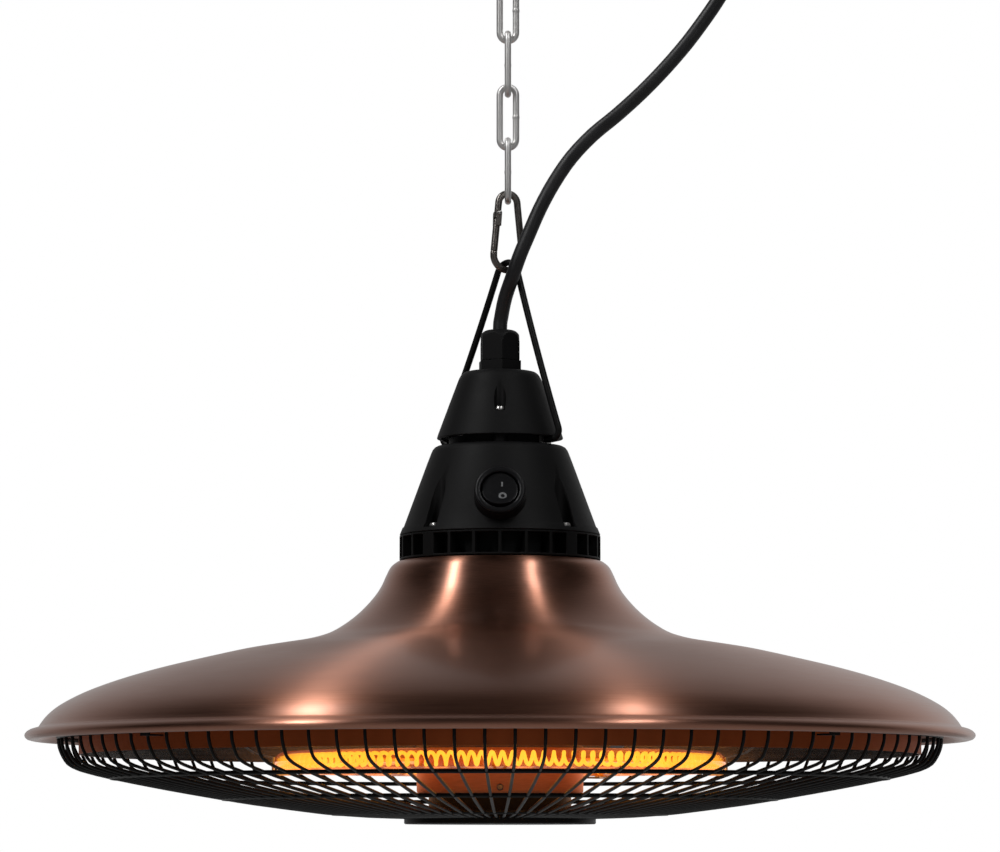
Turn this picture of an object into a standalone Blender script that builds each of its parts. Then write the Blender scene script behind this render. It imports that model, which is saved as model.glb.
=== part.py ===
"""A hanging electric patio heater, in metres, +Z up, with its origin on the ceiling face that it hangs from.

A ceiling hook carries a chain, a snap hook and a wire bail. The bail turns in a bracket between the cap and the
housing. Below them a vent ring, a spun copper shade, a reflector with a ring-shaped quartz heater, and a wire guard
hang on four long screws and one centre screw.
"""

import math

import bmesh
import bpy
from mathutils import Matrix, Vector

# Gaps and overruns that many pieces share
SEAT_GAP = 0.0003
RUN_GAP = 0.00035
OVERRUN = 0.004

# Ceiling plate, hook and screws
PLATE_RADIUS = 0.024
PLATE_THICKNESS = 0.004
PLATE_EDGE = 0.0015
PLATE_BOSS_RADIUS = 0.006
PLATE_BOSS_HEIGHT = 0.004
HOOK_WIRE = 0.0036
HOOK_RADIUS = 0.007
HOOK_DROP = 0.0255
HOOK_SOCKET_DEPTH = 0.006
CEILING_SCREW_SPACING = 0.031
CEILING_SCREW_RADIUS = 0.0019
CEILING_SCREW_HEAD_RADIUS = 0.0037
CEILING_SCREW_LENGTH = 0.019

# Chain
CHAIN_LINKS = 4
CHAIN_WIRE = 0.003
LINK_WIDTH = 0.0104
LINK_LENGTH = 0.0309

# Snap hook
CLIP_WIRE = 0.0034
CLIP_SPAN = 0.035
CLIP_TOP_WIDTH = 0.0124
CLIP_BOTTOM_WIDTH = 0.0172
CLIP_YAW_DEG = 20.0
GATE_PIN_SHARE = 0.20
GATE_BODY_END_SHARE = 0.26
GATE_ROD_TOP_SHARE = 0.33
GATE_ROD_FOOT_SHARE = 0.92
GATE_NOSE_SHARE = 0.945
GATE_PIN_RADIUS = 0.0006
GATE_CHEEK = 0.0008

# Bail
BAIL_WIRE = 0.003
BAIL_HEIGHT = 0.0818
BAIL_APEX_RADIUS = 0.0062
BAIL_KNEE_HALF = 0.0329
BAIL_FOOT_END = 0.0195
BAIL_BEND_RADIUS = 0.0038
BAIL_FOOT_YAW_DEG = -33.0
BAIL_APEX_YAW_DEG = -42.0
HANG_OFFSET = 0.0036
FOOT_GAP = 0.00055

# Bracket that the bail's feet turn in
BRACKET_THICKNESS = 0.0012
BRACKET_WIDTH = 0.008
BRACKET_EAR_HALF = 0.0241
BRACKET_EAR_DEPTH = 0.0045
BRACKET_EAR_TOP = 0.0042
BRACKET_BRIDGE_HALF = 0.0203
BRACKET_BRIDGE_HEIGHT = 0.0076
BRACKET_HOLE_RADIUS = 0.0022

# Cap
CAP_HEIGHT = 0.0299
CAP_RIM_RADIUS = 0.0285
CAP_SHOULDER_RADIUS = 0.0188
CAP_SHOULDER_HEIGHT = 0.0038
CAP_TOP_RADIUS = 0.0152
CAP_TOP_WALL = 0.0032
CAP_RIM_WALL = 0.0017
CAP_BORE_RADIUS = 0.0125
CAP_CAVITY_HEIGHT = 0.0068
CAP_SCREW_RADIUS_AT = 0.0228
CAP_SLOT_RADIUS = 0.0027
CAP_SLOT_FLOOR = 0.0102
CAP_SPACER_RADIUS = 0.0034

# Screws in cap and housing
SCREW_RADIUS = 0.0015
SCREW_HEAD_RADIUS = 0.0023
SCREW_HEAD_HEIGHT = 0.0018
CAP_SCREW_BITE = 0.006

# Cable gland
GLAND_THREAD_RADIUS = 0.008
GLAND_THREAD_LENGTH = 0.0083
GLAND_BODY_ACROSS = 0.018
GLAND_BODY_HEIGHT = 0.0045
GLAND_SPIGOT_RADIUS = 0.0066
GLAND_SPIGOT_HEIGHT = 0.0068
GLAND_BORE_RADIUS = 0.0046
GLAND_NUT_ACROSS = 0.0168
GLAND_NUT_HEIGHT = 0.0138
GLAND_NUT_ROUND = 0.0045
GLAND_NUT_WALL = 0.0036
GLAND_SEAL_LIP = 0.0025
LOCK_NUT_ACROSS = 0.020
LOCK_NUT_HEIGHT = 0.003

# Housing
HOUSING_HEIGHT = 0.0403
HOUSING_TOP_RADIUS = 0.0300
HOUSING_FOOT_RADIUS = 0.0448
HOUSING_ROUND = 0.0026
HOUSING_LIP = 0.0005
HOUSING_LIP_HEIGHT = 0.0032
HOUSING_TOP_WALL = 0.0064
HOUSING_CAVITY_TOP_RADIUS = 0.022
HOUSING_CAVITY_FOOT_RADIUS = 0.0342
HOUSING_POST_RADIUS = 0.010
HOUSING_POST_BORE = 0.0042
HOUSING_SCREW_RADIUS_AT = 0.0406
HOUSING_RECESS_IN = 0.0356
HOUSING_RECESS_HALF = 0.0037
HOUSING_RECESS_FLOOR = 0.0019
HOUSING_RECESS_RISE = 0.028
HOUSING_SCREW_HEAD_RADIUS = 0.0028

# Switch
SWITCH_DROP = 0.0255
SWITCH_TILT_DEG = 20.0
SWITCH_BOSS_RADIUS = 0.0115
SWITCH_BOSS_HEIGHT = 0.0062
SWITCH_BODY_RADIUS = 0.0095
SWITCH_BODY_DEPTH = 0.012
SWITCH_BEZEL_HEIGHT = 0.0013
SWITCH_BEZEL_RADIUS = 0.0111
SWITCH_WELL_RADIUS = 0.0086
SWITCH_WELL_DEPTH = 0.0072
ROCKER_RADIUS = 0.0080
ROCKER_PIVOT_DEPTH = 0.0036
ROCKER_BELOW_PIVOT = 0.0012
ROCKER_ABOVE_PIVOT = 0.0022
ROCKER_CROWN = 0.0012
ROCKER_TILT_DEG = -7.0

# Vent ring and base plate
VENT_HEIGHT = 0.0109
VENT_RADIUS = 0.0453
VENT_DEPTH = 0.0078
VENT_RIBS = 24
VENT_RIB_WIDTH = 0.0015
VENT_COLUMN_WIDTH = 0.0068
VENT_TOP_BAND = 0.0008
VENT_FOOT_BAND = 0.0009
BASE_PLATE_THICKNESS = 0.0012
BASE_PLATE_HOLE = 0.007

# Copper shade
SHADE_WALL = 0.0012
SHADE_TOP_RADIUS = 0.0455
SHADE_EDGE_RADIUS = 0.2062
SHADE_DEPTH = 0.0745
SHADE_HOLE_RADIUS = 0.030
SHADE_OUTLINE_SHARES = [
    (0.000, 0.000), (0.037, 0.098), (0.097, 0.290), (0.151, 0.388), (0.206, 0.450), (0.300, 0.498),
    (0.563, 0.605), (0.745, 0.713), (0.892, 0.823), (0.965, 0.917), (1.000, 1.000),
]
LIP_OUT = 0.0063
LIP_HEIGHT = 0.0066

# Reflector
REFLECTOR_INSET = 0.0178
REFLECTOR_RADIUS = SHADE_EDGE_RADIUS - REFLECTOR_INSET
REFLECTOR_SHEET = 0.0008
REFLECTOR_RIM_BELOW_LIP = 0.0054
REFLECTOR_WALL_HEIGHT = 0.0172
REFLECTOR_CEILING_RISE = 0.0153
REFLECTOR_OUTLINE_SHARES = [(0.12, 1.00), (0.77, 0.74), (0.975, 0.23)]

# Centre cylinder
CYLINDER_RADIUS = 0.0374
CYLINDER_WALL = 0.001
CYLINDER_FLANGE = 0.006
CYLINDER_COLLAR = 0.0036
CYLINDER_BELOW_LIP = 0.024
CYLINDER_WINDOW_HALF = 0.007
CYLINDER_WINDOW_RISE = 0.014
CYLINDER_SCREW_RISE = 0.003
CYLINDER_SCREW_RADIUS = 0.0012
CYLINDER_SCREW_HEAD_RADIUS = 0.002
CYLINDER_SCREW_HEAD_HEIGHT = 0.0012
CYLINDER_SCREW_LENGTH = 0.005

# Quartz heater
TUBE_RING_RADIUS = 0.0967
TUBE_RADIUS = 0.0046
TUBE_BORE = 0.0037
TUBE_BELOW_LIP = 0.0095
LEAD_HOLES_APART = 0.0106
COIL_RADIUS = 0.0024
COIL_WIRE = 0.0008
COIL_TURNS = 30
COIL_CURL_POINTS = 8
TUBE_CAP_RADIUS = 0.0064
TUBE_CAP_LENGTH = 0.013
TUBE_CAP_BITE = 0.003
CLIP_SHEET = 0.0008
CLIP_WIDTH = 0.007
CLIP_FOOT_LENGTH = 0.013
CLIP_FOOT_INSET = 0.027
CLIP_ELBOW_REACH = 0.009
CLIP_AZIMUTHS_DEG = (4.0, 62.0, 178.0)

# Wire guard
GUARD_WIRES = 50
GUARD_FIRST_SHARE = 0.25
GUARD_WIRE = 0.0018
GUARD_RING_WIRE = 0.0023
GUARD_TOP_INSET = 0.0088
GUARD_TOP_RADIUS = SHADE_EDGE_RADIUS - GUARD_TOP_INSET
GUARD_TOP_ABOVE_LIP = 0.0014
GUARD_DEPTH = 0.03525
GUARD_PLATE_RADIUS = 0.043
GUARD_PLATE_STEP = 0.00225
GUARD_KNEE_SHARES = (0.9715, 0.342)
GUARD_RING_SHARES = [(0.849, 0.505), (0.525, 0.767), (0.207, 0.955)]
GUARD_HOLE_RADIUS = 0.0024
GUARD_POST_RADIUS = 0.032
GUARD_SCREW_HEAD_RADIUS = 0.004
GUARD_CLIPS = 4
GUARD_CLIP_WIDTH = 0.006
GUARD_CLIP_SHEET = 0.0007
GUARD_CLIP_RISE = 0.0035
GUARD_CLIP_REACH = 0.0075
GUARD_CLIP_FIRST_DEG = -46.8

# Inner electrical pieces
BLOCK_SIZE = (0.024, 0.013, 0.011)
BLOCK_AT = (-0.010, 0.012)
BLOCK_WELL_RADIUS = 0.0018
BLOCK_WELL_DEPTH = 0.006
CUTOUT_RADIUS = 0.006
CUTOUT_HEIGHT = 0.006
CUTOUT_FLANGE_RADIUS = 0.0085
CUTOUT_FLANGE_HEIGHT = 0.001
CUTOUT_AT = (0.016, -0.010)
LEAD_WIRE = 0.0024

# Cord and ceiling rose
CORD_DIAMETER = 0.0065
CORD_SEAL_GAP = 0.0003
ROSE_AT = (0.1010, -0.0075)
ROSE_RADIUS = 0.021
ROSE_HEIGHT = 0.012
ROSE_WALL = 0.002
GRIP_RADIUS = 0.0075
GRIP_FOOT_RADIUS = 0.0052
GRIP_LENGTH = 0.007

# The cord's hand-chosen route, as (x, y, height over the gland's nut), in the gland's own frame
CORD_ROUTE = [
    (0.0006, -0.0005, 0.0060), (0.0024, -0.0040, 0.0145), (0.0058, -0.0088, 0.0240), (0.0090, -0.0106, 0.0330),
    (0.0128, -0.0110, 0.0420), (0.0180, -0.0108, 0.0540), (0.0243, -0.0104, 0.0658), (0.0322, -0.0100, 0.0775),
    (0.0420, -0.0096, 0.0880), (0.0530, -0.0092, 0.0972), (0.0644, -0.0088, 0.1077), (0.0752, -0.0084, 0.1190),
    (0.0852, -0.0080, 0.1308), (0.0940, -0.0077, 0.1428), (0.0988, -0.0076, 0.1500), (0.1022, -0.0075, 0.1560),
]

ROUND = 36
LARGE_ROUND = 28
MEDIUM_ROUND = 20
SMALL_ROUND = 12
SCREW_SIDES = 8
WIRE_SIDES = 6
SHARP_DEG = 38.0


# Levels. The hook's wire, the links, the snap hook and the bail hang below each other, each with the seat gap.
# Inside the heater a height is measured from the axis that the bail's feet turn on.
HOOK_Z = -HOOK_DROP
LINK_TOP_Z = HOOK_Z + (HOOK_WIRE + CHAIN_WIRE) / 2 + SEAT_GAP
LINK_SPAN = LINK_LENGTH - CHAIN_WIRE
LINK_PITCH = LINK_SPAN - CHAIN_WIRE - SEAT_GAP
CHAIN_END_Z = LINK_TOP_Z - (CHAIN_LINKS - 1) * LINK_PITCH - LINK_SPAN
CLIP_TOP_Z = CHAIN_END_Z + (CHAIN_WIRE + CLIP_WIRE) / 2 + SEAT_GAP
CLIP_FOOT_Z = CLIP_TOP_Z - CLIP_SPAN
BAIL_TOP_Z = CLIP_FOOT_Z + (CLIP_WIRE + BAIL_WIRE) / 2 + SEAT_GAP
PIVOT_Z = BAIL_TOP_Z - BAIL_HEIGHT

CAP_RIM = BAIL_WIRE / 2 + FOOT_GAP
CAP_TOP = CAP_RIM + CAP_HEIGHT
CAP_CAVITY_TOP = CAP_RIM + CAP_CAVITY_HEIGHT
CAP_FLOOR = CAP_RIM + CAP_SLOT_FLOOR
HOUSING_TOP = -CAP_RIM
HOUSING_FOOT = HOUSING_TOP - HOUSING_HEIGHT
HOUSING_FLOOR = HOUSING_FOOT + HOUSING_RECESS_FLOOR
VENT_TOP = HOUSING_FOOT - SEAT_GAP
VENT_FOOT = VENT_TOP - VENT_HEIGHT
SHADE_TOP = VENT_FOOT - SEAT_GAP
SHADE_EDGE = SHADE_TOP - SHADE_DEPTH
LIP_FOOT = SHADE_EDGE - LIP_HEIGHT
REFLECTOR_FOOT = LIP_FOOT - REFLECTOR_RIM_BELOW_LIP
REFLECTOR_CORNER = REFLECTOR_FOOT + REFLECTOR_WALL_HEIGHT
REFLECTOR_TOP = REFLECTOR_CORNER + REFLECTOR_CEILING_RISE
CYLINDER_TOP = SHADE_TOP - SHADE_WALL - SEAT_GAP
CYLINDER_FOOT = LIP_FOOT - CYLINDER_BELOW_LIP
TUBE_Z = LIP_FOOT - TUBE_BELOW_LIP
GUARD_TOP = LIP_FOOT + GUARD_TOP_ABOVE_LIP
GUARD_FOOT = GUARD_TOP - GUARD_DEPTH
GLAND_FOOT = CAP_TOP + SEAT_GAP
GLAND_SHELF = GLAND_FOOT + GLAND_BODY_HEIGHT
GLAND_NUT_FOOT = GLAND_SHELF + SEAT_GAP
GLAND_NUT_TOP = GLAND_NUT_FOOT + GLAND_NUT_HEIGHT
CORD_END = GLAND_FOOT - GLAND_THREAD_LENGTH + 3 * BRACKET_THICKNESS
BASE_PLATE_FOOT = SHADE_TOP + SEAT_GAP
BASE_PLATE_TOP = BASE_PLATE_FOOT + BASE_PLATE_THICKNESS

MATERIALS = {
    "zinc_steel": ((0.62, 0.62, 0.60), 0.28, 1.0),
    "steel": ((0.70, 0.70, 0.69), 0.32, 1.0),
    "dark_steel": ((0.16, 0.15, 0.15), 0.40, 1.0),
    "black_wire": ((0.018, 0.018, 0.019), 0.42, 0.3),
    "black_plastic": ((0.022, 0.022, 0.023), 0.48, 0.0),
    "gloss_black": ((0.012, 0.012, 0.013), 0.22, 0.0),
    "rubber": ((0.016, 0.016, 0.018), 0.60, 0.0),
    "copper": ((0.46, 0.19, 0.12), 0.27, 1.0),
    "reflector": ((0.72, 0.72, 0.72), 0.16, 1.0),
    "quartz": ((0.95, 0.55, 0.35), 0.08, 0.0),
    "coil": ((1.0, 0.55, 0.12), 0.50, 0.0),
    "ceramic": ((0.82, 0.79, 0.72), 0.62, 0.0),
    "white_plastic": ((0.80, 0.79, 0.76), 0.45, 0.0),
    "lead_sleeve": ((0.55, 0.50, 0.42), 0.70, 0.0),
}


def clear_scene():
    for old in list(bpy.data.objects):
        bpy.data.objects.remove(old, do_unlink=True)


def make_material(name):
    colour, roughness, metallic = MATERIALS[name]
    made = bpy.data.materials.new(name)
    made.use_nodes = True
    shader = made.node_tree.nodes["Principled BSDF"]
    shader.inputs["Base Color"].default_value = (*colour, 1.0)
    shader.inputs["Roughness"].default_value = roughness
    shader.inputs["Metallic"].default_value = metallic
    made.diffuse_color = (*colour, 1.0)
    return made


def material(name):
    return bpy.data.materials.get(name) or make_material(name)


def empty(name, at, parent=None):
    made = bpy.data.objects.new(name, None)
    made.empty_display_size = CAP_RIM_RADIUS
    bpy.context.collection.objects.link(made)
    hang(made, at, parent)
    return made


def world_place(thing):
    """Where a thing's origin lies, with every parent unturned."""
    place = Vector((0.0, 0.0, 0.0))
    while thing is not None:
        place += thing.location
        thing = thing.parent
    return place


def hang(thing, at, parent):
    """Puts a thing's origin at a world place, under a parent that isn't turned."""
    thing.parent = parent
    thing.location = Vector(at) - world_place(parent)


def add_object(name, bm, finish, at=(0, 0, 0), parent=None):
    """An object from a bmesh whose points are measured from the place that it is put at."""
    bmesh.ops.recalc_face_normals(bm, faces=bm.faces)
    if bm.calc_volume(signed=True) < 0:
        bmesh.ops.reverse_faces(bm, faces=bm.faces)
    mesh = bpy.data.meshes.new(name)
    bm.to_mesh(mesh)
    bm.free()
    mesh.materials.append(material(finish))
    mesh.shade_smooth()
    mesh.set_sharp_from_angle(angle=math.radians(SHARP_DEG))
    made = bpy.data.objects.new(name, mesh)
    bpy.context.collection.objects.link(made)
    hang(made, at, parent)
    return made


def tool_object(name, bm, like):
    """A helper for a Boolean, in the frame of the object that it works on."""
    made = add_object(name, bm, "steel", world_place(like), None)
    made.hide_render = True
    made.display_type = "WIRE"
    return made


def cut(thing, name, bm):
    change = thing.modifiers.new(name, "BOOLEAN")
    change.operation = "DIFFERENCE"
    change.solver = "EXACT"
    change.object = tool_object(name, bm, thing)


def fuse(thing, name, bm):
    change = thing.modifiers.new(name, "BOOLEAN")
    change.operation = "UNION"
    change.solver = "EXACT"
    change.object = tool_object(name, bm, thing)


def merge(*parts):
    """One bmesh that holds the others, which don't touch."""
    whole = bmesh.new()
    for part in parts:
        held = bpy.data.meshes.new("held")
        part.to_mesh(held)
        part.free()
        whole.from_mesh(held)
        bpy.data.meshes.remove(held)
    return whole


def lathe(profile, steps=ROUND):
    """A turned solid about Z from (radius, height) points: a closed outline, or one that starts and ends on the axis."""
    bm = bmesh.new()
    points = [bm.verts.new((radius, 0, height)) for radius, height in profile]
    pairs = list(zip(points, points[1:]))
    if profile[0][0] > 0:
        pairs.append((points[-1], points[0]))
    edges = [bm.edges.new(pair) for pair in pairs]
    bmesh.ops.spin(
        bm, geom=points + edges, cent=(0, 0, 0), axis=(0, 0, 1), angle=math.tau, steps=steps, use_merge=True
    )
    bmesh.ops.remove_doubles(bm, verts=bm.verts, dist=SEAT_GAP / ROUND)
    return bm


def loft(rings, closed=False):
    """A skin over rings of points, capped at both ends or closed on itself."""
    bm = bmesh.new()
    rows = [[bm.verts.new(point) for point in ring] for ring in rings]
    pairs = list(zip(rows, rows[1:]))
    if closed:
        pairs.append((rows[-1], rows[0]))
    for low, high in pairs:
        for k in range(len(low)):
            n = (k + 1) % len(low)
            bm.faces.new((low[k], low[n], high[n], high[k]))
    if not closed:
        bm.faces.new(rows[0])
        bm.faces.new(rows[-1])
    return bm


def frames(points, closed=False, axis=None):
    """(side, other side) unit vectors square to a path: about a fixed axis for a flat path, carried along if none."""
    last = len(points) - 1
    found = []
    side = None
    for k, point in enumerate(points):
        before = points[k - 1] if k or closed else point
        after = points[(k + 1) % len(points)] if k < last or closed else point
        along = (after - before).normalized()
        if axis is not None:
            side = axis.cross(along).normalized()
        elif side is None:
            side = along.orthogonal().normalized()
        else:
            side = (side - along * side.dot(along)).normalized()
        found.append((side, along.cross(side).normalized()))
    return found


def ring_rows(points, radius, sides, closed=False, axis=None):
    rows = []
    for point, (side, other) in zip(points, frames(points, closed, axis)):
        turns = [math.tau * k / sides for k in range(sides)]
        rows.append([point + radius * (math.cos(a) * side + math.sin(a) * other) for a in turns])
    return rows


def rod(points, radius, sides=WIRE_SIDES, closed=False, axis=None):
    """Round wire along a path."""
    return loft(ring_rows(points, radius, sides, closed, axis), closed)


def pipe(points, radius, bore, sides, axis):
    """Round pipe along an open path, open at both ends."""
    outside = ring_rows(points, radius, sides, False, axis)
    inside = ring_rows(points, bore, sides, False, axis)
    return loft(outside + inside[::-1], True)


def cylinder(radius, low, high, sides=SMALL_ROUND, at=(0, 0)):
    x, y = at
    rings = []
    for height in (low, high):
        turns = [math.tau * (k + 1 / 2) / sides for k in range(sides)]
        rings.append([Vector((x + radius * math.cos(a), y + radius * math.sin(a), height)) for a in turns])
    return loft(rings)


def box(low, high):
    (x0, y0, z0), (x1, y1, z1) = low, high
    corners = ((x0, y0), (x1, y0), (x1, y1), (x0, y1))
    return loft([[Vector((x, y, z)) for x, y in corners] for z in (z0, z1)])


def hexagon(across, low, high):
    return cylinder(across / math.sqrt(3), low, high, 6)


def prism(outline, width):
    """A flat outline of (x, z) points, as thick as width along Y."""
    return loft([[Vector((x, y, z)) for x, z in outline] for y in (-width / 2, width / 2)])


def offset_line(points, distance):
    """A line of (x, z) points moved sideways, with its corners mitred."""
    moved = []
    for k, (x, z) in enumerate(points):
        normals = []
        for a, b in ((k - 1, k), (k, k + 1)):
            if 0 <= a and b < len(points):
                run = Vector((points[b][0] - points[a][0], points[b][1] - points[a][1])).normalized()
                normals.append(Vector((run.y, -run.x)))
        mean = sum(normals, Vector((0, 0))).normalized()
        reach = distance / mean.dot(normals[0])
        moved.append((x + mean.x * reach, z + mean.y * reach))
    return moved


def strap(line, thickness, width):
    """Sheet metal bent along a line of (x, z) points."""
    half = thickness / 2
    return prism(offset_line(line, half) + offset_line(line, -half)[::-1], width)


def arc(centre, radius, start_deg, end_deg, pieces):
    """Points of an arc, as (x, z)."""
    found = []
    for k in range(pieces + 1):
        a = math.radians(start_deg + (end_deg - start_deg) * k / pieces)
        found.append((centre[0] + radius * math.cos(a), centre[1] + radius * math.sin(a)))
    return found


def turned(bm, degrees, axis="Z"):
    bm.transform(Matrix.Rotation(math.radians(degrees), 4, axis))
    return bm


def moved(bm, x=0, y=0, z=0):
    bm.transform(Matrix.Translation((x, y, z)))
    return bm


def around(radius, degrees, height=0):
    a = math.radians(degrees)
    return Vector((radius * math.cos(a), radius * math.sin(a), height))


def smooth_path(points, pieces):
    """A path through hand-chosen points, rounded by a spline through them."""
    ends = [2 * points[0] - points[1], *points, 2 * points[-1] - points[-2]]
    found = []
    for a, b, c, d in zip(ends, ends[1:], ends[2:], ends[3:]):
        for k in range(pieces):
            t = k / pieces
            found.append(
                b + (c - a) * t / 2 + (2 * a - 5 * b + 4 * c - d) * t**2 / 2 + (3 * b - a - 3 * c + d) * t**3 / 2
            )
    return [*found, points[-1]]


def cable(name, points, diameter, finish, parent, resolution):
    """A round cable as a bevelled curve with filled ends."""
    curve = bpy.data.curves.new(name, "CURVE")
    curve.dimensions = "3D"
    curve.bevel_depth = diameter / 2
    curve.bevel_resolution = resolution
    curve.use_fill_caps = True
    line = curve.splines.new("POLY")
    line.points.add(len(points) - 1)
    for target, point in zip(line.points, points):
        target.co = (*point, 1.0)
    line.use_smooth = True
    curve.materials.append(material(finish))
    made = bpy.data.objects.new(name, curve)
    bpy.context.collection.objects.link(made)
    hang(made, world_place(parent), parent)
    return made


def ceiling_plate():
    socket = HOOK_WIRE / 2 + SEAT_GAP
    boss_foot = -PLATE_THICKNESS - PLATE_BOSS_HEIGHT
    profile = [
        (0, boss_foot + HOOK_SOCKET_DEPTH), (socket, boss_foot + HOOK_SOCKET_DEPTH), (socket, boss_foot),
        (PLATE_BOSS_RADIUS - PLATE_EDGE, boss_foot), (PLATE_BOSS_RADIUS, boss_foot + PLATE_EDGE),
        (PLATE_BOSS_RADIUS, -PLATE_THICKNESS), (PLATE_RADIUS - PLATE_EDGE, -PLATE_THICKNESS),
        (PLATE_RADIUS, PLATE_EDGE - PLATE_THICKNESS), (PLATE_RADIUS, 0), (0, 0),
    ]
    plate = add_object("ceiling_plate", lathe(profile, MEDIUM_ROUND), "zinc_steel")
    clear = CEILING_SCREW_RADIUS + RUN_GAP
    wide = CEILING_SCREW_HEAD_RADIUS + 2 * RUN_GAP
    sink = wide - clear
    hole = [
        (0, -PLATE_THICKNESS - OVERRUN), (wide, -PLATE_THICKNESS - OVERRUN), (wide, -PLATE_THICKNESS),
        (clear, sink - PLATE_THICKNESS), (clear, OVERRUN), (0, OVERRUN),
    ]
    half = CEILING_SCREW_SPACING / 2
    cut(plate, "plate_holes", merge(*(moved(lathe(hole, SMALL_ROUND), side * half) for side in (-1, 1))))
    return plate


def ceiling_screws(plate):
    head_face = SEAT_GAP - PLATE_THICKNESS
    neck = head_face + CEILING_SCREW_HEAD_RADIUS - CEILING_SCREW_RADIUS
    tip = CEILING_SCREW_LENGTH - PLATE_THICKNESS
    profile = [
        (0, head_face), (CEILING_SCREW_HEAD_RADIUS, head_face), (CEILING_SCREW_RADIUS, neck),
        (CEILING_SCREW_RADIUS, tip - CEILING_SCREW_RADIUS), (0, tip),
    ]
    for number, side in ((1, -1), (2, 1)):
        at = (side * CEILING_SCREW_SPACING / 2, 0, 0)
        add_object(f"ceiling_screw_{number}", lathe(profile, SCREW_SIDES), "steel", at, plate)


def ceiling_hook(plate):
    """Round wire from the socket down and round an open eye that lies across the first link."""
    shank_top = HOOK_SOCKET_DEPTH - PLATE_THICKNESS - PLATE_BOSS_HEIGHT - SEAT_GAP
    eye = (0, HOOK_Z + HOOK_RADIUS)
    shank_foot = eye[1] + 3 * HOOK_RADIUS / 2
    line = [(0, shank_top), (0, shank_foot), (HOOK_RADIUS / 4, eye[1] + HOOK_RADIUS * math.cos(math.radians(16)))]
    line += arc(eye, HOOK_RADIUS, 52, -218, 15)
    path = [Vector((0, y, z)) for y, z in line]
    add_object("ceiling_hook", rod(path, HOOK_WIRE / 2, WIRE_SIDES, False, Vector((1, 0, 0))), "zinc_steel", (0, 0, 0), plate)


def link_mesh(turn_deg):
    """One chain link, its upper wire centre a link's span above its lower one, measured from the seat of its top."""
    bend = (LINK_WIDTH - CHAIN_WIRE) / 2
    line = arc((0, -bend), bend, 0, 180, 6) + arc((0, bend - LINK_SPAN), bend, 180, 360, 6)
    path = [Vector((x, 0, z)) for x, z in line]
    return turned(rod(path, CHAIN_WIRE / 2, WIRE_SIDES, True, Vector((0, 1, 0))), turn_deg)


def chain(plate):
    """The links, each with its origin in the wire that it hangs on. They lie across and along by turns."""
    carrier, seat = plate, HOOK_Z
    for number in range(1, CHAIN_LINKS + 1):
        top = LINK_TOP_Z - (number - 1) * LINK_PITCH
        bm = moved(link_mesh(0 if number % 2 else 90), z=top - seat)
        carrier = add_object(f"chain_link_{number}", bm, "zinc_steel", (0, 0, seat), carrier)
        seat = top - LINK_SPAN
    return carrier


def clip_side(share):
    """A point of the snap hook's gate side as (x, height below its top wire), by its share of that side."""
    top, foot = (CLIP_TOP_WIDTH - CLIP_WIRE) / 2, (CLIP_BOTTOM_WIDTH - CLIP_WIRE) / 2
    x = -(top + (foot - top) * share)
    z = -top - (CLIP_SPAN - top - foot) * share
    return x, z


def snap_hook(link):
    """The pear-shaped wire body, in the plane that its yaw sets, with its origin in the wire that it hangs on."""
    top, foot = (CLIP_TOP_WIDTH - CLIP_WIRE) / 2, (CLIP_BOTTOM_WIDTH - CLIP_WIRE) / 2
    line = [clip_side(GATE_BODY_END_SHARE)]
    line += arc((0, -top), top, 180, 0, 6)
    line += arc((0, foot - CLIP_SPAN), foot, 0, -180, 8)
    line += [clip_side(GATE_NOSE_SHARE)]
    path = [Vector((x, 0, z)) for x, z in line]
    rise = CLIP_TOP_Z - CHAIN_END_Z
    wire = rod(path, CLIP_WIRE / 2, WIRE_SIDES, False, Vector((0, 1, 0)))
    bm = moved(turned(wire, CLIP_YAW_DEG), z=rise)
    body = add_object("carabiner", bm, "dark_steel", (0, 0, CHAIN_END_Z), link)
    cut(body, "carabiner_pin_hole", moved(pin_rod(GATE_PIN_RADIUS + RUN_GAP, OVERRUN), z=rise))
    return body


def pin_rod(radius, half_length):
    """A rod along the gate's hinge line, measured from the snap hook's top wire."""
    x, z = clip_side(GATE_PIN_SHARE)
    path = [Vector((x, side * half_length, z)) for side in (-1, 1)]
    return turned(rod(path, radius, SCREW_SIDES, False, Vector((1, 0, 0))), CLIP_YAW_DEG)


def pin_place():
    x, z = clip_side(GATE_PIN_SHARE)
    a = math.radians(CLIP_YAW_DEG)
    return Vector((x * math.cos(a), x * math.sin(a), CLIP_TOP_Z + z))


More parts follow.
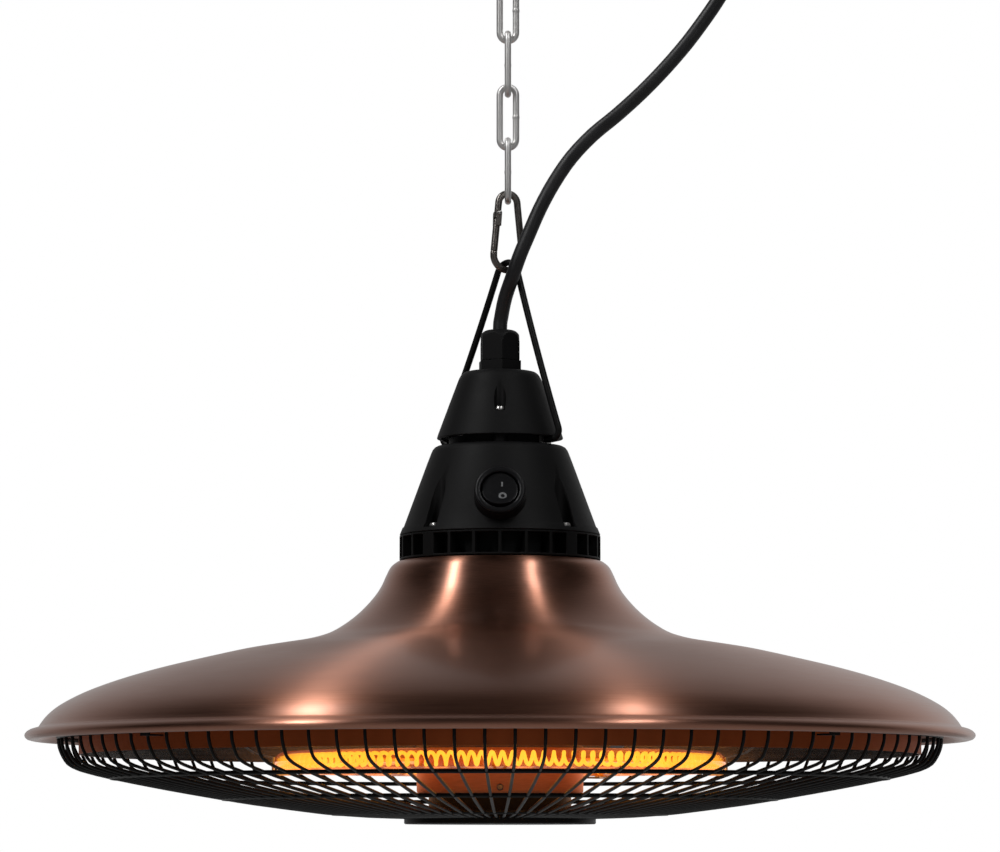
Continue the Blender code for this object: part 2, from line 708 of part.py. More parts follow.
def snap_gate(body):
    """The sprung gate: a rod with two cheeks that hold the body's wire between them on the pin."""
    pin = pin_place()
    x, z = clip_side(GATE_PIN_SHARE)
    rod_line = [clip_side(share) for share in (GATE_ROD_TOP_SHARE, GATE_ROD_FOOT_SHARE)]
    path = [Vector((a - x, 0, b - z)) for a, b in rod_line]
    gate = add_object(
        "carabiner_gate", turned(rod(path, CLIP_WIRE / 2, WIRE_SIDES, False, Vector((0, 1, 0))), CLIP_YAW_DEG),
        "dark_steel", pin, body,
    )
    half, inner = CLIP_WIRE / 2, CLIP_WIRE / 2 + RUN_GAP
    outer = inner + GATE_CHEEK
    foot = path[0].z - CLIP_WIRE
    for number, side in ((1, -1), (2, 1)):
        low, high = sorted((side * inner, side * outer))
        cheek = box((-half + path[0].x / 2, low, foot), (half + path[0].x / 2, high, half))
        fuse(gate, f"gate_cheek_{number}", turned(cheek, CLIP_YAW_DEG))
    across = inner + GATE_CHEEK / 2
    bridge = box((-half + path[0].x, -across, foot), (half + path[0].x, across, path[0].z - half / 4))
    fuse(gate, "gate_bridge", turned(bridge, CLIP_YAW_DEG))
    cut(gate, "gate_pin_hole", moved(pin_rod(GATE_PIN_RADIUS + RUN_GAP, OVERRUN), -pin.x, -pin.y, CLIP_TOP_Z - pin.z))
    rivet = moved(pin_rod(GATE_PIN_RADIUS, outer), -pin.x, -pin.y, CLIP_TOP_Z - pin.z)
    add_object("gate_pin", rivet, "steel", pin, body)


def bail_half_line():
    """Half of the bail as (half width, height over the feet), from a foot's inner end to the crown."""
    centre = BAIL_HEIGHT - BAIL_APEX_RADIUS
    reach = math.hypot(BAIL_KNEE_HALF, centre)
    lean = math.atan2(BAIL_KNEE_HALF, centre) + math.acos(BAIL_APEX_RADIUS / reach)
    touch = Vector((BAIL_APEX_RADIUS * math.sin(lean), centre - BAIL_APEX_RADIUS * math.cos(lean)))
    knee = Vector((BAIL_KNEE_HALF, 0))
    leg = (touch - knee).normalized()
    half_turn = math.acos(leg.dot(Vector((1, 0)))) / 2
    back = BAIL_BEND_RADIUS / math.tan(math.pi / 2 - half_turn)
    start, end = knee - Vector((back, 0)), knee + leg * back
    bend_centre = (start.x, BAIL_BEND_RADIUS)
    turn = math.degrees(2 * half_turn)
    bend = arc(bend_centre, BAIL_BEND_RADIUS, -90, turn - 90, 5)
    legs = [tuple(end + (touch - end) * k / 4) for k in range(1, 4)]
    crown = arc((0, centre), BAIL_APEX_RADIUS, math.degrees(lean) - 90, 90, 4)
    return [(BAIL_FOOT_END, 0), *bend, *legs, *crown]


def bail_point(half, height):
    """A point of the bail measured from the heater's own axis: it twists and shifts as it rises to the crown."""
    share = height / BAIL_HEIGHT
    yaw = math.radians(BAIL_FOOT_YAW_DEG + (BAIL_APEX_YAW_DEG - BAIL_FOOT_YAW_DEG) * share)
    return Vector((HANG_OFFSET * share + half * math.cos(yaw), half * math.sin(yaw), height))


def bail(body):
    half = bail_half_line()
    line = half + [(-w, z) for w, z in half[-2::-1]]
    path = [bail_point(w, z) for w, z in line]
    bm = moved(rod(path, BAIL_WIRE / 2), -HANG_OFFSET, 0, PIVOT_Z - CLIP_FOOT_Z)
    return add_object("bail", bm, "black_wire", (0, 0, CLIP_FOOT_Z), body)


def hanger_bracket(heater):
    """Sheet steel bent into an arch, its two ears drilled for the bail's feet and let into the housing's top."""
    line = [
        (BRACKET_EAR_HALF, -BRACKET_EAR_DEPTH), (BRACKET_EAR_HALF, BRACKET_EAR_TOP),
        (BRACKET_BRIDGE_HALF, BRACKET_BRIDGE_HEIGHT), (-BRACKET_BRIDGE_HALF, BRACKET_BRIDGE_HEIGHT),
        (-BRACKET_EAR_HALF, BRACKET_EAR_TOP), (-BRACKET_EAR_HALF, -BRACKET_EAR_DEPTH),
    ]
    bm = turned(strap(line, BRACKET_THICKNESS, BRACKET_WIDTH), BAIL_FOOT_YAW_DEG)
    bracket = add_object("hanger_bracket", bm, "steel", world_place(heater), heater)
    reach = BRACKET_EAR_HALF + OVERRUN
    foot_line = [Vector((-reach, 0, 0)), Vector((reach, 0, 0))]
    holes = rod(foot_line, BAIL_WIRE / 2 + RUN_GAP, SCREW_SIDES, False, Vector((0, 1, 0)))
    cut(bracket, "bracket_ear_holes", turned(holes, BAIL_FOOT_YAW_DEG))
    bore = cylinder(BRACKET_HOLE_RADIUS, BRACKET_EAR_TOP, BRACKET_BRIDGE_HEIGHT + OVERRUN)
    cut(bracket, "bracket_lead_hole", bore)


def cap_radius(height):
    """The cap's outer radius at a height, on its long cone."""
    shoulder = CAP_TOP - CAP_SHOULDER_HEIGHT
    share = (height - CAP_RIM) / (shoulder - CAP_RIM)
    return CAP_RIM_RADIUS + (CAP_SHOULDER_RADIUS - CAP_RIM_RADIUS) * share


def top_cap(heater):
    inner = CAP_RIM_RADIUS - CAP_RIM_WALL
    ear_room = BRACKET_EAR_TOP + BRACKET_THICKNESS / 2
    thread = GLAND_THREAD_RADIUS + SEAT_GAP
    profile = [
        (thread, CAP_TOP), (CAP_TOP_RADIUS, CAP_TOP), (CAP_TOP_RADIUS + (CAP_SHOULDER_RADIUS - CAP_TOP_RADIUS) * 2 / 3,
        CAP_TOP - CAP_SHOULDER_HEIGHT / 3), (CAP_SHOULDER_RADIUS, CAP_TOP - CAP_SHOULDER_HEIGHT),
        (CAP_RIM_RADIUS, CAP_RIM), (inner, CAP_RIM), (cap_radius(ear_room) - CAP_RIM_WALL, ear_room),
        (BRACKET_BRIDGE_HALF + 2 * BRACKET_THICKNESS, CAP_CAVITY_TOP), (CAP_BORE_RADIUS, CAP_CAVITY_TOP),
        (CAP_BORE_RADIUS, CAP_TOP - CAP_TOP_WALL), (thread, CAP_TOP - CAP_TOP_WALL),
    ]
    cap = add_object("top_cap", lathe(profile, LARGE_ROUND), "black_plastic", world_place(heater), heater)
    places = [(0, side * CAP_SCREW_RADIUS_AT) for side in (-1, 1)]
    posts = [
        cylinder(CAP_SPACER_RADIUS, HOUSING_TOP + SEAT_GAP, CAP_CAVITY_TOP + SCREW_HEAD_HEIGHT, SMALL_ROUND, at)
        for at in places
    ]
    fuse(cap, "cap_spacers", merge(*posts))
    slots = [cylinder(CAP_SLOT_RADIUS, CAP_FLOOR, CAP_TOP + OVERRUN, SMALL_ROUND, at) for at in places]
    cut(cap, "cap_slots", merge(*slots))
    holes = [
        cylinder(SCREW_RADIUS + RUN_GAP, HOUSING_TOP - OVERRUN, CAP_FLOOR + OVERRUN / 2, SCREW_SIDES, at) for at in places
    ]
    cut(cap, "cap_screw_holes", merge(*holes))


def screw_mesh(head_face, tip, head_radius):
    """A pan-head screw down from the face that its head sits on, both measured along Z."""
    crown = head_face + SCREW_HEAD_HEIGHT
    profile = [
        (0, crown), (head_radius * 2 / 3, crown), (head_radius, crown - SCREW_HEAD_HEIGHT / 2), (head_radius, head_face),
        (SCREW_RADIUS, head_face), (SCREW_RADIUS, tip + SCREW_RADIUS), (0, tip),
    ]
    return lathe(profile, SCREW_SIDES)


def cap_screws(heater):
    for number, side in ((1, -1), (2, 1)):
        bm = screw_mesh(CAP_FLOOR + SEAT_GAP, HOUSING_TOP - CAP_SCREW_BITE, SCREW_HEAD_RADIUS)
        at = world_place(heater) + Vector((0, side * CAP_SCREW_RADIUS_AT, 0))
        add_object(f"cap_screw_{number}", bm, "steel", at, heater)


def gland(heater):
    """Hexagon body with its thread through the cap, rubber seal, dome nut and lock nut."""
    at = world_place(heater)
    bm = hexagon(GLAND_BODY_ACROSS, GLAND_FOOT, GLAND_SHELF)
    body = add_object("gland_body", bm, "black_plastic", at, heater)
    low, high = GLAND_FOOT - GLAND_THREAD_LENGTH, GLAND_SHELF + GLAND_SPIGOT_HEIGHT
    middle = (GLAND_FOOT + GLAND_SHELF) / 2
    fuse(body, "gland_thread", cylinder(GLAND_THREAD_RADIUS, low, middle))
    fuse(body, "gland_spigot", cylinder(GLAND_SPIGOT_RADIUS, middle, high))
    cut(body, "gland_bore", cylinder(GLAND_BORE_RADIUS, low - OVERRUN, high + OVERRUN))

    cord = CORD_DIAMETER / 2 + CORD_SEAL_GAP
    seal_low, seal_top = GLAND_SHELF, high + SEAT_GAP + GLAND_SEAL_LIP
    skirt = GLAND_BORE_RADIUS - 2 * SEAT_GAP
    seal = [
        (cord, seal_low), (skirt, seal_low), (skirt, high + SEAT_GAP), (GLAND_SPIGOT_RADIUS, high + SEAT_GAP),
        (GLAND_SPIGOT_RADIUS, seal_top - SEAT_GAP), (cord + GLAND_SEAL_LIP / 2, seal_top), (cord, seal_top),
    ]
    add_object("gland_seal", lathe(seal, SMALL_ROUND), "rubber", at, heater)

    crown = GLAND_NUT_ACROSS / math.sqrt(3)
    dome = [(0, GLAND_NUT_FOOT - OVERRUN), (crown + OVERRUN, GLAND_NUT_FOOT - OVERRUN)]
    dome += [(crown + OVERRUN, GLAND_NUT_TOP - 2 * GLAND_NUT_ROUND)]
    dome += arc((crown - GLAND_NUT_ROUND, GLAND_NUT_TOP - GLAND_NUT_ROUND), GLAND_NUT_ROUND, 0, 90, 3)
    dome += [(0, GLAND_NUT_TOP)]
    nut = add_object("gland_nut", hexagon(GLAND_NUT_ACROSS, GLAND_NUT_FOOT, GLAND_NUT_TOP + OVERRUN), "black_plastic", at, heater)
    shape = nut.modifiers.new("gland_dome", "BOOLEAN")
    shape.operation = "INTERSECT"
    shape.solver = "EXACT"
    shape.object = tool_object("gland_dome", lathe(dome, MEDIUM_ROUND), nut)
    ceiling = seal_top + SEAT_GAP
    bore = [
        (0, GLAND_NUT_FOOT - OVERRUN), (GLAND_SPIGOT_RADIUS + RUN_GAP, GLAND_NUT_FOOT - OVERRUN),
        (GLAND_SPIGOT_RADIUS + RUN_GAP, ceiling), (cord + SEAT_GAP, ceiling), (cord + SEAT_GAP, GLAND_NUT_TOP + OVERRUN),
        (0, GLAND_NUT_TOP + OVERRUN),
    ]
    cut(nut, "gland_nut_bore", lathe(bore, SMALL_ROUND))

    top = CAP_TOP - CAP_TOP_WALL - SEAT_GAP
    lock = add_object("gland_lock_nut", hexagon(LOCK_NUT_ACROSS, top - LOCK_NUT_HEIGHT, top), "black_plastic", at, heater)
    cut(lock, "lock_nut_hole", cylinder(GLAND_THREAD_RADIUS + SEAT_GAP, top - LOCK_NUT_HEIGHT - OVERRUN, top + OVERRUN))


def housing_radius(height):
    share = (HOUSING_TOP - height) / HOUSING_HEIGHT
    return HOUSING_TOP_RADIUS + (HOUSING_FOOT_RADIUS - HOUSING_TOP_RADIUS) * share


def switch_frame():
    """The switch's place on the cone: X across, Z out along the face's normal."""
    height = HOUSING_TOP - SWITCH_DROP
    at = Matrix.Translation((0, -housing_radius(height), height))
    return at @ Matrix.Rotation(math.radians(90 - SWITCH_TILT_DEG), 4, "X")


def lower_housing(heater):
    lip = HOUSING_FOOT + HOUSING_LIP_HEIGHT
    ceiling = HOUSING_TOP - HOUSING_TOP_WALL
    post_top = BRACKET_BRIDGE_HEIGHT - BRACKET_THICKNESS / 2 - SEAT_GAP
    knee = HOUSING_FOOT + HOUSING_HEIGHT / 3
    profile = [
        (HOUSING_POST_BORE, post_top), (HOUSING_POST_RADIUS, post_top), (HOUSING_POST_RADIUS, HOUSING_TOP),
        (HOUSING_TOP_RADIUS - HOUSING_ROUND, HOUSING_TOP),
        (HOUSING_TOP_RADIUS - HOUSING_ROUND / 4, HOUSING_TOP - HOUSING_ROUND / 3),
        (housing_radius(HOUSING_TOP - HOUSING_ROUND), HOUSING_TOP - HOUSING_ROUND),
        (housing_radius(lip + HOUSING_LIP), lip + HOUSING_LIP), (housing_radius(lip) + HOUSING_LIP, lip),
        (HOUSING_FOOT_RADIUS + HOUSING_LIP, HOUSING_FOOT), (HOUSING_CAVITY_FOOT_RADIUS, HOUSING_FOOT),
        (HOUSING_CAVITY_FOOT_RADIUS - HOUSING_LIP, knee), (HOUSING_CAVITY_TOP_RADIUS, ceiling), (HOUSING_POST_BORE, ceiling),
    ]
    housing = add_object("lower_housing", lathe(profile, LARGE_ROUND), "black_plastic", world_place(heater), heater)

    boss = cylinder(SWITCH_BOSS_RADIUS, -SWITCH_BOSS_HEIGHT, SWITCH_BOSS_HEIGHT, MEDIUM_ROUND)
    boss.transform(switch_frame())
    fuse(housing, "switch_boss", boss)
    bore = cylinder(SWITCH_BODY_RADIUS + SEAT_GAP, -SWITCH_BODY_DEPTH - OVERRUN, SWITCH_BOSS_HEIGHT + OVERRUN, MEDIUM_ROUND)
    bore.transform(switch_frame())
    cut(housing, "switch_bore", bore)

    cut(housing, "screw_recesses", merge(*(recess_mesh(at) for at in housing_screw_places())))
    deep = HOUSING_FOOT - OVERRUN
    holes = [
        cylinder(SCREW_RADIUS + RUN_GAP, deep, HOUSING_FLOOR + OVERRUN, SCREW_SIDES, at[:2]) for at in housing_screw_places()
    ]
    holes += [
        cylinder(
            SCREW_RADIUS + RUN_GAP, HOUSING_TOP - CAP_SCREW_BITE - SCREW_RADIUS, HOUSING_TOP + OVERRUN, SCREW_SIDES,
            (0, side * CAP_SCREW_RADIUS_AT),
        )
        for side in (-1, 1)
    ]
    cut(housing, "housing_screw_holes", merge(*holes))
    pockets = []
    for side in (-1, 1):
        near, far = sorted(side * (BRACKET_EAR_HALF + s * (BRACKET_THICKNESS / 2 + RUN_GAP)) for s in (-1, 1))
        half = BRACKET_WIDTH / 2 + RUN_GAP
        pocket = box((near, -half, -BRACKET_EAR_DEPTH - SEAT_GAP), (far, half, HOUSING_TOP + OVERRUN))
        pockets.append(turned(pocket, BAIL_FOOT_YAW_DEG))
    cut(housing, "bracket_pockets", merge(*pockets))


def housing_screw_places():
    return [around(HOUSING_SCREW_RADIUS_AT, 45 + 90 * k) for k in range(4)]


def recess_mesh(place):
    """An upright slot, round towards the axis and open outwards, for one of the housing's screws."""
    centre = HOUSING_RECESS_IN + HOUSING_RECESS_HALF
    outline = arc((centre, 0), HOUSING_RECESS_HALF, 90, 270, 6)
    outline += [(HOUSING_FOOT_RADIUS + OVERRUN, -HOUSING_RECESS_HALF), (HOUSING_FOOT_RADIUS + OVERRUN, HOUSING_RECESS_HALF)]
    heights = (HOUSING_FLOOR, HOUSING_FLOOR + HOUSING_RECESS_RISE)
    slot = loft([[Vector((x, y, height)) for x, y in outline] for height in heights])
    return turned(slot, math.degrees(math.atan2(place.y, place.x)))


def housing_screws(heater):
    tip = CYLINDER_TOP - CYLINDER_WALL - SCREW_RADIUS
    for number, place in enumerate(housing_screw_places(), 1):
        bm = screw_mesh(HOUSING_FLOOR + SEAT_GAP, tip, HOUSING_SCREW_HEAD_RADIUS)
        add_object(f"housing_screw_{number}", bm, "steel", world_place(heater) + place, heater)


def switch(heater):
    """Bezel and body in one turned piece, with a round well, and the rocker on its own axis in it."""
    face = SWITCH_BOSS_HEIGHT + SEAT_GAP + SWITCH_BEZEL_HEIGHT
    floor = face - SWITCH_WELL_DEPTH
    profile = [
        (0, -SWITCH_BODY_DEPTH), (SWITCH_BODY_RADIUS, -SWITCH_BODY_DEPTH),
        (SWITCH_BODY_RADIUS, SWITCH_BOSS_HEIGHT + SEAT_GAP), (SWITCH_BEZEL_RADIUS, SWITCH_BOSS_HEIGHT + SEAT_GAP),
        (SWITCH_BEZEL_RADIUS, face - SWITCH_BEZEL_HEIGHT / 2), (SWITCH_WELL_RADIUS + SWITCH_BEZEL_HEIGHT / 2, face),
        (SWITCH_WELL_RADIUS, face - SWITCH_BEZEL_HEIGHT / 2), (SWITCH_WELL_RADIUS, floor), (0, floor),
    ]
    bm = lathe(profile, MEDIUM_ROUND)
    bm.transform(switch_frame())
    body = add_object("switch_body", bm, "gloss_black", world_place(heater), heater)

    pivot = face - ROCKER_PIVOT_DEPTH
    rings = []
    heights = ((-ROCKER_BELOW_PIVOT, 0), (ROCKER_ABOVE_PIVOT, 1))
    for height, crowned in heights:
        ring = []
        for k in range(MEDIUM_ROUND):
            a = math.tau * (k + 1 / 2) / (MEDIUM_ROUND)
            x, y = ROCKER_RADIUS * math.cos(a), ROCKER_RADIUS * math.sin(a)
            ring.append(Vector((x, y, height + crowned * ROCKER_CROWN * (y / ROCKER_RADIUS) ** 2)))
        rings.append(ring)
    rocker = loft(rings)
    rocker.transform(Matrix.Rotation(math.radians(ROCKER_TILT_DEG), 4, "X"))
    frame = switch_frame()
    centre = frame @ Vector((0, 0, pivot))
    rocker.transform(frame.to_3x3().to_4x4())
    add_object("switch_rocker", rocker, "gloss_black", world_place(heater) + centre, body)


def cell_ring(edges, radii, heights, filled):
    """A ring built of cells between angles, radii and heights. filled(sector, layer) says which cells are solid."""
    bm = bmesh.new()
    count, layers = len(edges), len(heights) - 1
    points = {}

    def vert(sector, side, level):
        key = (sector % count, side, level)
        if key not in points:
            points[key] = bm.verts.new(around(radii[side], edges[key[0]], heights[level]))
        return points[key]

    for s in range(count):
        for h in range(layers):
            if not filled(s, h):
                continue
            for side in (0, 1):
                bm.faces.new((vert(s, side, h), vert(s + 1, side, h), vert(s + 1, side, h + 1), vert(s, side, h + 1)))
            for level, beyond in ((h, h - 1), (h + 1, h + 1)):
                if not (0 <= beyond < layers and filled(s, beyond)):
                    bm.faces.new((vert(s, 0, level), vert(s + 1, 0, level), vert(s + 1, 1, level), vert(s, 1, level)))
            for wall, beyond in ((s, s - 1), (s + 1, s + 1)):
                if not filled(beyond % count, h):
                    bm.faces.new((vert(wall, 0, h), vert(wall, 1, h), vert(wall, 1, h + 1), vert(wall, 0, h + 1)))
    return bm


def vent_ring(heater):
    """Two bands joined by ribs. The ribs at the four long screws are wide enough to be their columns."""
    step = 360 / VENT_RIBS
    edges = []
    for k in range(VENT_RIBS):
        middle = -90 + step * k
        wide = (middle - 45) % 90 == 0
        half = math.degrees((VENT_COLUMN_WIDTH if wide else VENT_RIB_WIDTH) / 2 / VENT_RADIUS)
        edges += [middle - half, middle + half]
    heights = [VENT_FOOT, VENT_FOOT + VENT_FOOT_BAND, VENT_TOP - VENT_TOP_BAND, VENT_TOP]
    bm = cell_ring(edges, (VENT_RADIUS - VENT_DEPTH, VENT_RADIUS), heights, lambda s, h: h != 1 or s % 2 == 0)
    ring = add_object("vent_ring", bm, "black_plastic", world_place(heater), heater)
    cut(ring, "vent_screw_holes", screw_hole_set(VENT_FOOT - OVERRUN, VENT_TOP + OVERRUN))


def screw_hole_set(low, high):
    return merge(
        *(cylinder(SCREW_RADIUS + RUN_GAP, low, high, SCREW_SIDES, at[:2]) for at in housing_screw_places())
    )


def base_plate(heater):
    outer = VENT_RADIUS - VENT_DEPTH - 2 * SEAT_GAP
    profile = [
        (BASE_PLATE_HOLE, BASE_PLATE_FOOT), (outer, BASE_PLATE_FOOT), (outer, BASE_PLATE_TOP), (BASE_PLATE_HOLE, BASE_PLATE_TOP)
    ]
    plate = add_object("base_plate", lathe(profile, MEDIUM_ROUND), "steel", world_place(heater), heater)
    cut(plate, "base_plate_screw_holes", screw_hole_set(BASE_PLATE_FOOT - OVERRUN, BASE_PLATE_TOP + OVERRUN))


def terminal_block(heater):
    x, y, z = BLOCK_SIZE
    low = BASE_PLATE_TOP + SEAT_GAP
    cx, cy = BLOCK_AT
    bm = box((cx - x / 2, cy - y / 2, low), (cx + x / 2, cy + y / 2, low + z))
    block = add_object("terminal_block", bm, "white_plastic", world_place(heater), heater)
    wells = [
        cylinder(BLOCK_WELL_RADIUS, low + z - BLOCK_WELL_DEPTH, low + z + OVERRUN, SCREW_SIDES, (cx + k * x / 3, cy))
        for k in (-1, 0, 1)
    ]
    cut(block, "block_wells", merge(*wells))


def thermal_cutout(heater):
    low = BASE_PLATE_TOP + SEAT_GAP
    profile = [
        (0, low), (CUTOUT_FLANGE_RADIUS, low), (CUTOUT_FLANGE_RADIUS, low + CUTOUT_FLANGE_HEIGHT),
        (CUTOUT_RADIUS, low + CUTOUT_FLANGE_HEIGHT), (CUTOUT_RADIUS, low + CUTOUT_HEIGHT), (0, low + CUTOUT_HEIGHT),
    ]
    at = world_place(heater) + Vector((*CUTOUT_AT, 0))
    add_object("thermal_cutout", lathe(profile, SMALL_ROUND), "ceramic", at, heater)


def shade_line():
    """The shade's outer line from its top edge to its rim, as (radius, height)."""
    reach = SHADE_EDGE_RADIUS - SHADE_TOP_RADIUS
    return [(SHADE_TOP_RADIUS + a * reach, SHADE_TOP - b * SHADE_DEPTH) for a, b in SHADE_OUTLINE_SHARES]


def shade(heater):
    """Spun sheet: a flat top with a hole, a waisted neck, a low dome and an outward rolled lip."""
    outside = [(SHADE_HOLE_RADIUS, SHADE_TOP), *shade_line()]
    inside = offset_line(outside, SHADE_WALL)
    lip = [
        (SHADE_EDGE_RADIUS + LIP_OUT * 2 / 3, SHADE_EDGE - LIP_HEIGHT / 8),
        (SHADE_EDGE_RADIUS + LIP_OUT, SHADE_EDGE - LIP_HEIGHT / 2),
        (SHADE_EDGE_RADIUS + LIP_OUT * 2 / 3, LIP_FOOT), (SHADE_EDGE_RADIUS, LIP_FOOT),
        (inside[-1][0], SHADE_EDGE - LIP_HEIGHT * 2 / 3),
    ]
    inside[0] = (SHADE_HOLE_RADIUS, SHADE_TOP - SHADE_WALL)
    body = add_object("shade", lathe(outside + lip + inside[::-1], ROUND), "copper", world_place(heater), heater)
    cut(body, "shade_screw_holes", screw_hole_set(SHADE_TOP - SHADE_WALL - OVERRUN, SHADE_TOP + OVERRUN))
    return inside[-1][0]


def reflector_line():
    """The reflector's upper line, from its centre hole to the foot of its wall."""
    inner = CYLINDER_RADIUS + SEAT_GAP + REFLECTOR_SHEET / 2
    reach = REFLECTOR_RADIUS - inner
    line = [(inner, REFLECTOR_TOP)]
    for a, b in REFLECTOR_OUTLINE_SHARES:
        line.append((inner + a * reach, REFLECTOR_CORNER + b * REFLECTOR_CEILING_RISE))
    return [*line, (REFLECTOR_RADIUS, REFLECTOR_CORNER), (REFLECTOR_RADIUS, REFLECTOR_FOOT)]


def reflector_under(radius):
    """The height of the reflector's lower face over a radius."""
    line = offset_line(reflector_line(), REFLECTOR_SHEET)
    for (r0, z0), (r1, z1) in zip(line, line[1:]):
        if r0 <= radius <= r1:
            return z0 + (z1 - z0) * (radius - r0) / (r1 - r0)
    return line[-1][1]


def reflector(heater):
    outside = reflector_line()
    bm = lathe(outside + offset_line(outside, REFLECTOR_SHEET)[::-1], LARGE_ROUND)
    dish = add_object("reflector", bm, "reflector", world_place(heater), heater)
    holes = [
        cylinder(LEAD_WIRE, REFLECTOR_CORNER - OVERRUN, REFLECTOR_TOP + OVERRUN, SCREW_SIDES, place[:2])
        for place in (lead_drop(side) for side in (-1, 1))
    ]
    cut(dish, "reflector_lead_holes", merge(*holes))


def centre_cylinder(heater):
    """A closed-bottomed tube that hangs under the shade's top, with a collar that carries the reflector."""
    outer, inner = CYLINDER_RADIUS, CYLINDER_RADIUS - CYLINDER_WALL
    collar = REFLECTOR_TOP - REFLECTOR_SHEET - SEAT_GAP
    hole = SCREW_RADIUS + RUN_GAP
    profile = [
        (inner, CYLINDER_TOP), (outer + CYLINDER_FLANGE, CYLINDER_TOP), (outer + CYLINDER_FLANGE, CYLINDER_TOP - CYLINDER_WALL),
        (outer, CYLINDER_TOP - CYLINDER_WALL), (outer, collar), (outer + CYLINDER_COLLAR, collar),
        (outer + CYLINDER_COLLAR, collar - CYLINDER_WALL), (outer, collar - CYLINDER_WALL), (outer, CYLINDER_FOOT),
        (hole, CYLINDER_FOOT), (hole, CYLINDER_FOOT + CYLINDER_WALL), (inner, CYLINDER_FOOT + CYLINDER_WALL),
    ]
    body = add_object("centre_cylinder", lathe(profile, LARGE_ROUND), "reflector", world_place(heater), heater)
    cut(body, "cylinder_screw_holes", screw_hole_set(CYLINDER_TOP - CYLINDER_WALL - OVERRUN, CYLINDER_TOP + OVERRUN))
    window_low = REFLECTOR_TOP + SEAT_GAP
    window = box(
        (-CYLINDER_WINDOW_HALF, outer - OVERRUN, window_low),
        (CYLINDER_WINDOW_HALF, outer + OVERRUN, window_low + CYLINDER_WINDOW_RISE),
    )
    cut(body, "cylinder_window", window)
    height = CYLINDER_FOOT + CYLINDER_SCREW_RISE
    line = [Vector((0, -outer - OVERRUN, height)), Vector((0, OVERRUN - outer, height))]
    hole_rod = rod(line, CYLINDER_SCREW_RADIUS + RUN_GAP, SCREW_SIDES, False, Vector((0, 0, 1)))
    cut(body, "cylinder_screw_hole", hole_rod)

    face = CYLINDER_RADIUS + SEAT_GAP
    out = face + CYLINDER_SCREW_HEAD_HEIGHT
    tip = out - CYLINDER_SCREW_LENGTH
    screw = [
        (0, tip), (CYLINDER_SCREW_RADIUS, tip + CYLINDER_SCREW_RADIUS), (CYLINDER_SCREW_RADIUS, face),
        (CYLINDER_SCREW_HEAD_RADIUS, face), (CYLINDER_SCREW_HEAD_RADIUS, out - CYLINDER_SCREW_HEAD_HEIGHT / 2),
        (CYLINDER_SCREW_HEAD_RADIUS / 2, out), (0, out),
    ]
    bm = turned(lathe(screw, SCREW_SIDES), 90, "X")
    add_object("cylinder_screw", bm, "steel", world_place(heater) + Vector((0, 0, height)), heater)


def lead_reach():
    """How far past the end of the tube its lead goes up through the reflector."""
    return TUBE_CAP_LENGTH - TUBE_CAP_BITE + 2 * LEAD_WIRE


def tube_half_gap():
    """Half the angle between the tube's ends, which leaves room for both caps and both lead holes."""
    return math.degrees(math.asin((lead_reach() + LEAD_HOLES_APART / 2) / TUBE_RING_RADIUS))


def tube_path(pieces):
    gap = tube_half_gap()
    return [around(TUBE_RING_RADIUS, 90 + gap + (360 - 2 * gap) * k / pieces, TUBE_Z) for k in range(pieces + 1)]


def quartz_heater(heater):
    """The glass ring with its ends at the back, the coil in it, and a ceramic cap on each end."""
    at = world_place(heater)
    up = Vector((0, 0, 1))
    add_object("quartz_tube", pipe(tube_path(LARGE_ROUND), TUBE_RADIUS, TUBE_BORE, 8, up), "quartz", at, heater)

    gap = tube_half_gap()
    count = COIL_TURNS * COIL_CURL_POINTS
    path = []
    for k in range(count + 1):
        share = k / count
        azimuth = 90 + gap + (360 - 2 * gap) * share
        turn = math.tau * COIL_TURNS * share
        path.append(around(TUBE_RING_RADIUS + COIL_RADIUS * math.cos(turn), azimuth, TUBE_Z + COIL_RADIUS * math.sin(turn)))
    add_object("heating_coil", rod(path, COIL_WIRE / 2, 4), "coil", at, heater)
    least = min(
        (path[a] - path[b]).length
        for a in range(0, count, 2)
        for b in range(a + COIL_CURL_POINTS // 2, min(a + 2 * COIL_CURL_POINTS, count))
    )
    print(f"heating coil: least gap to itself {(least - COIL_WIRE) * 1000:.2f} mm")

    for number, side in ((1, -1), (2, 1)):
        azimuth = 90 - side * gap
        end = around(TUBE_RING_RADIUS, azimuth, TUBE_Z)
        out = around(1, azimuth + side * 90)
        inner, outer = -TUBE_CAP_BITE, TUBE_CAP_LENGTH - TUBE_CAP_BITE
        bore = TUBE_RADIUS + 2 * RUN_GAP
        profile = [(bore, inner), (TUBE_CAP_RADIUS, inner), (TUBE_CAP_RADIUS, outer), (0, outer), (0, 3 * SEAT_GAP), (bore, 3 * SEAT_GAP)]
        cap = lathe_open(profile, 12)
        cap.transform(out.to_track_quat("Z", "Y").to_matrix().to_4x4())
        add_object(f"tube_cap_{number}", cap, "ceramic", at + end, heater)


def lathe_open(profile, steps):
    """A turned cup: the outline leaves the axis at its outer end and comes back to it in the bore's floor."""
    start = next(k for k, point in enumerate(profile) if point[0] == 0) + 1
    return lathe(profile[start:] + profile[:start], steps)


def lead_drop(side):
    """Where a heater lead goes through the reflector, beyond the end of a tube cap."""
    azimuth = 90 - side * tube_half_gap()
    end = around(TUBE_RING_RADIUS, azimuth, TUBE_Z)
    out = around(1, azimuth + side * 90)
    return end + out * lead_reach()


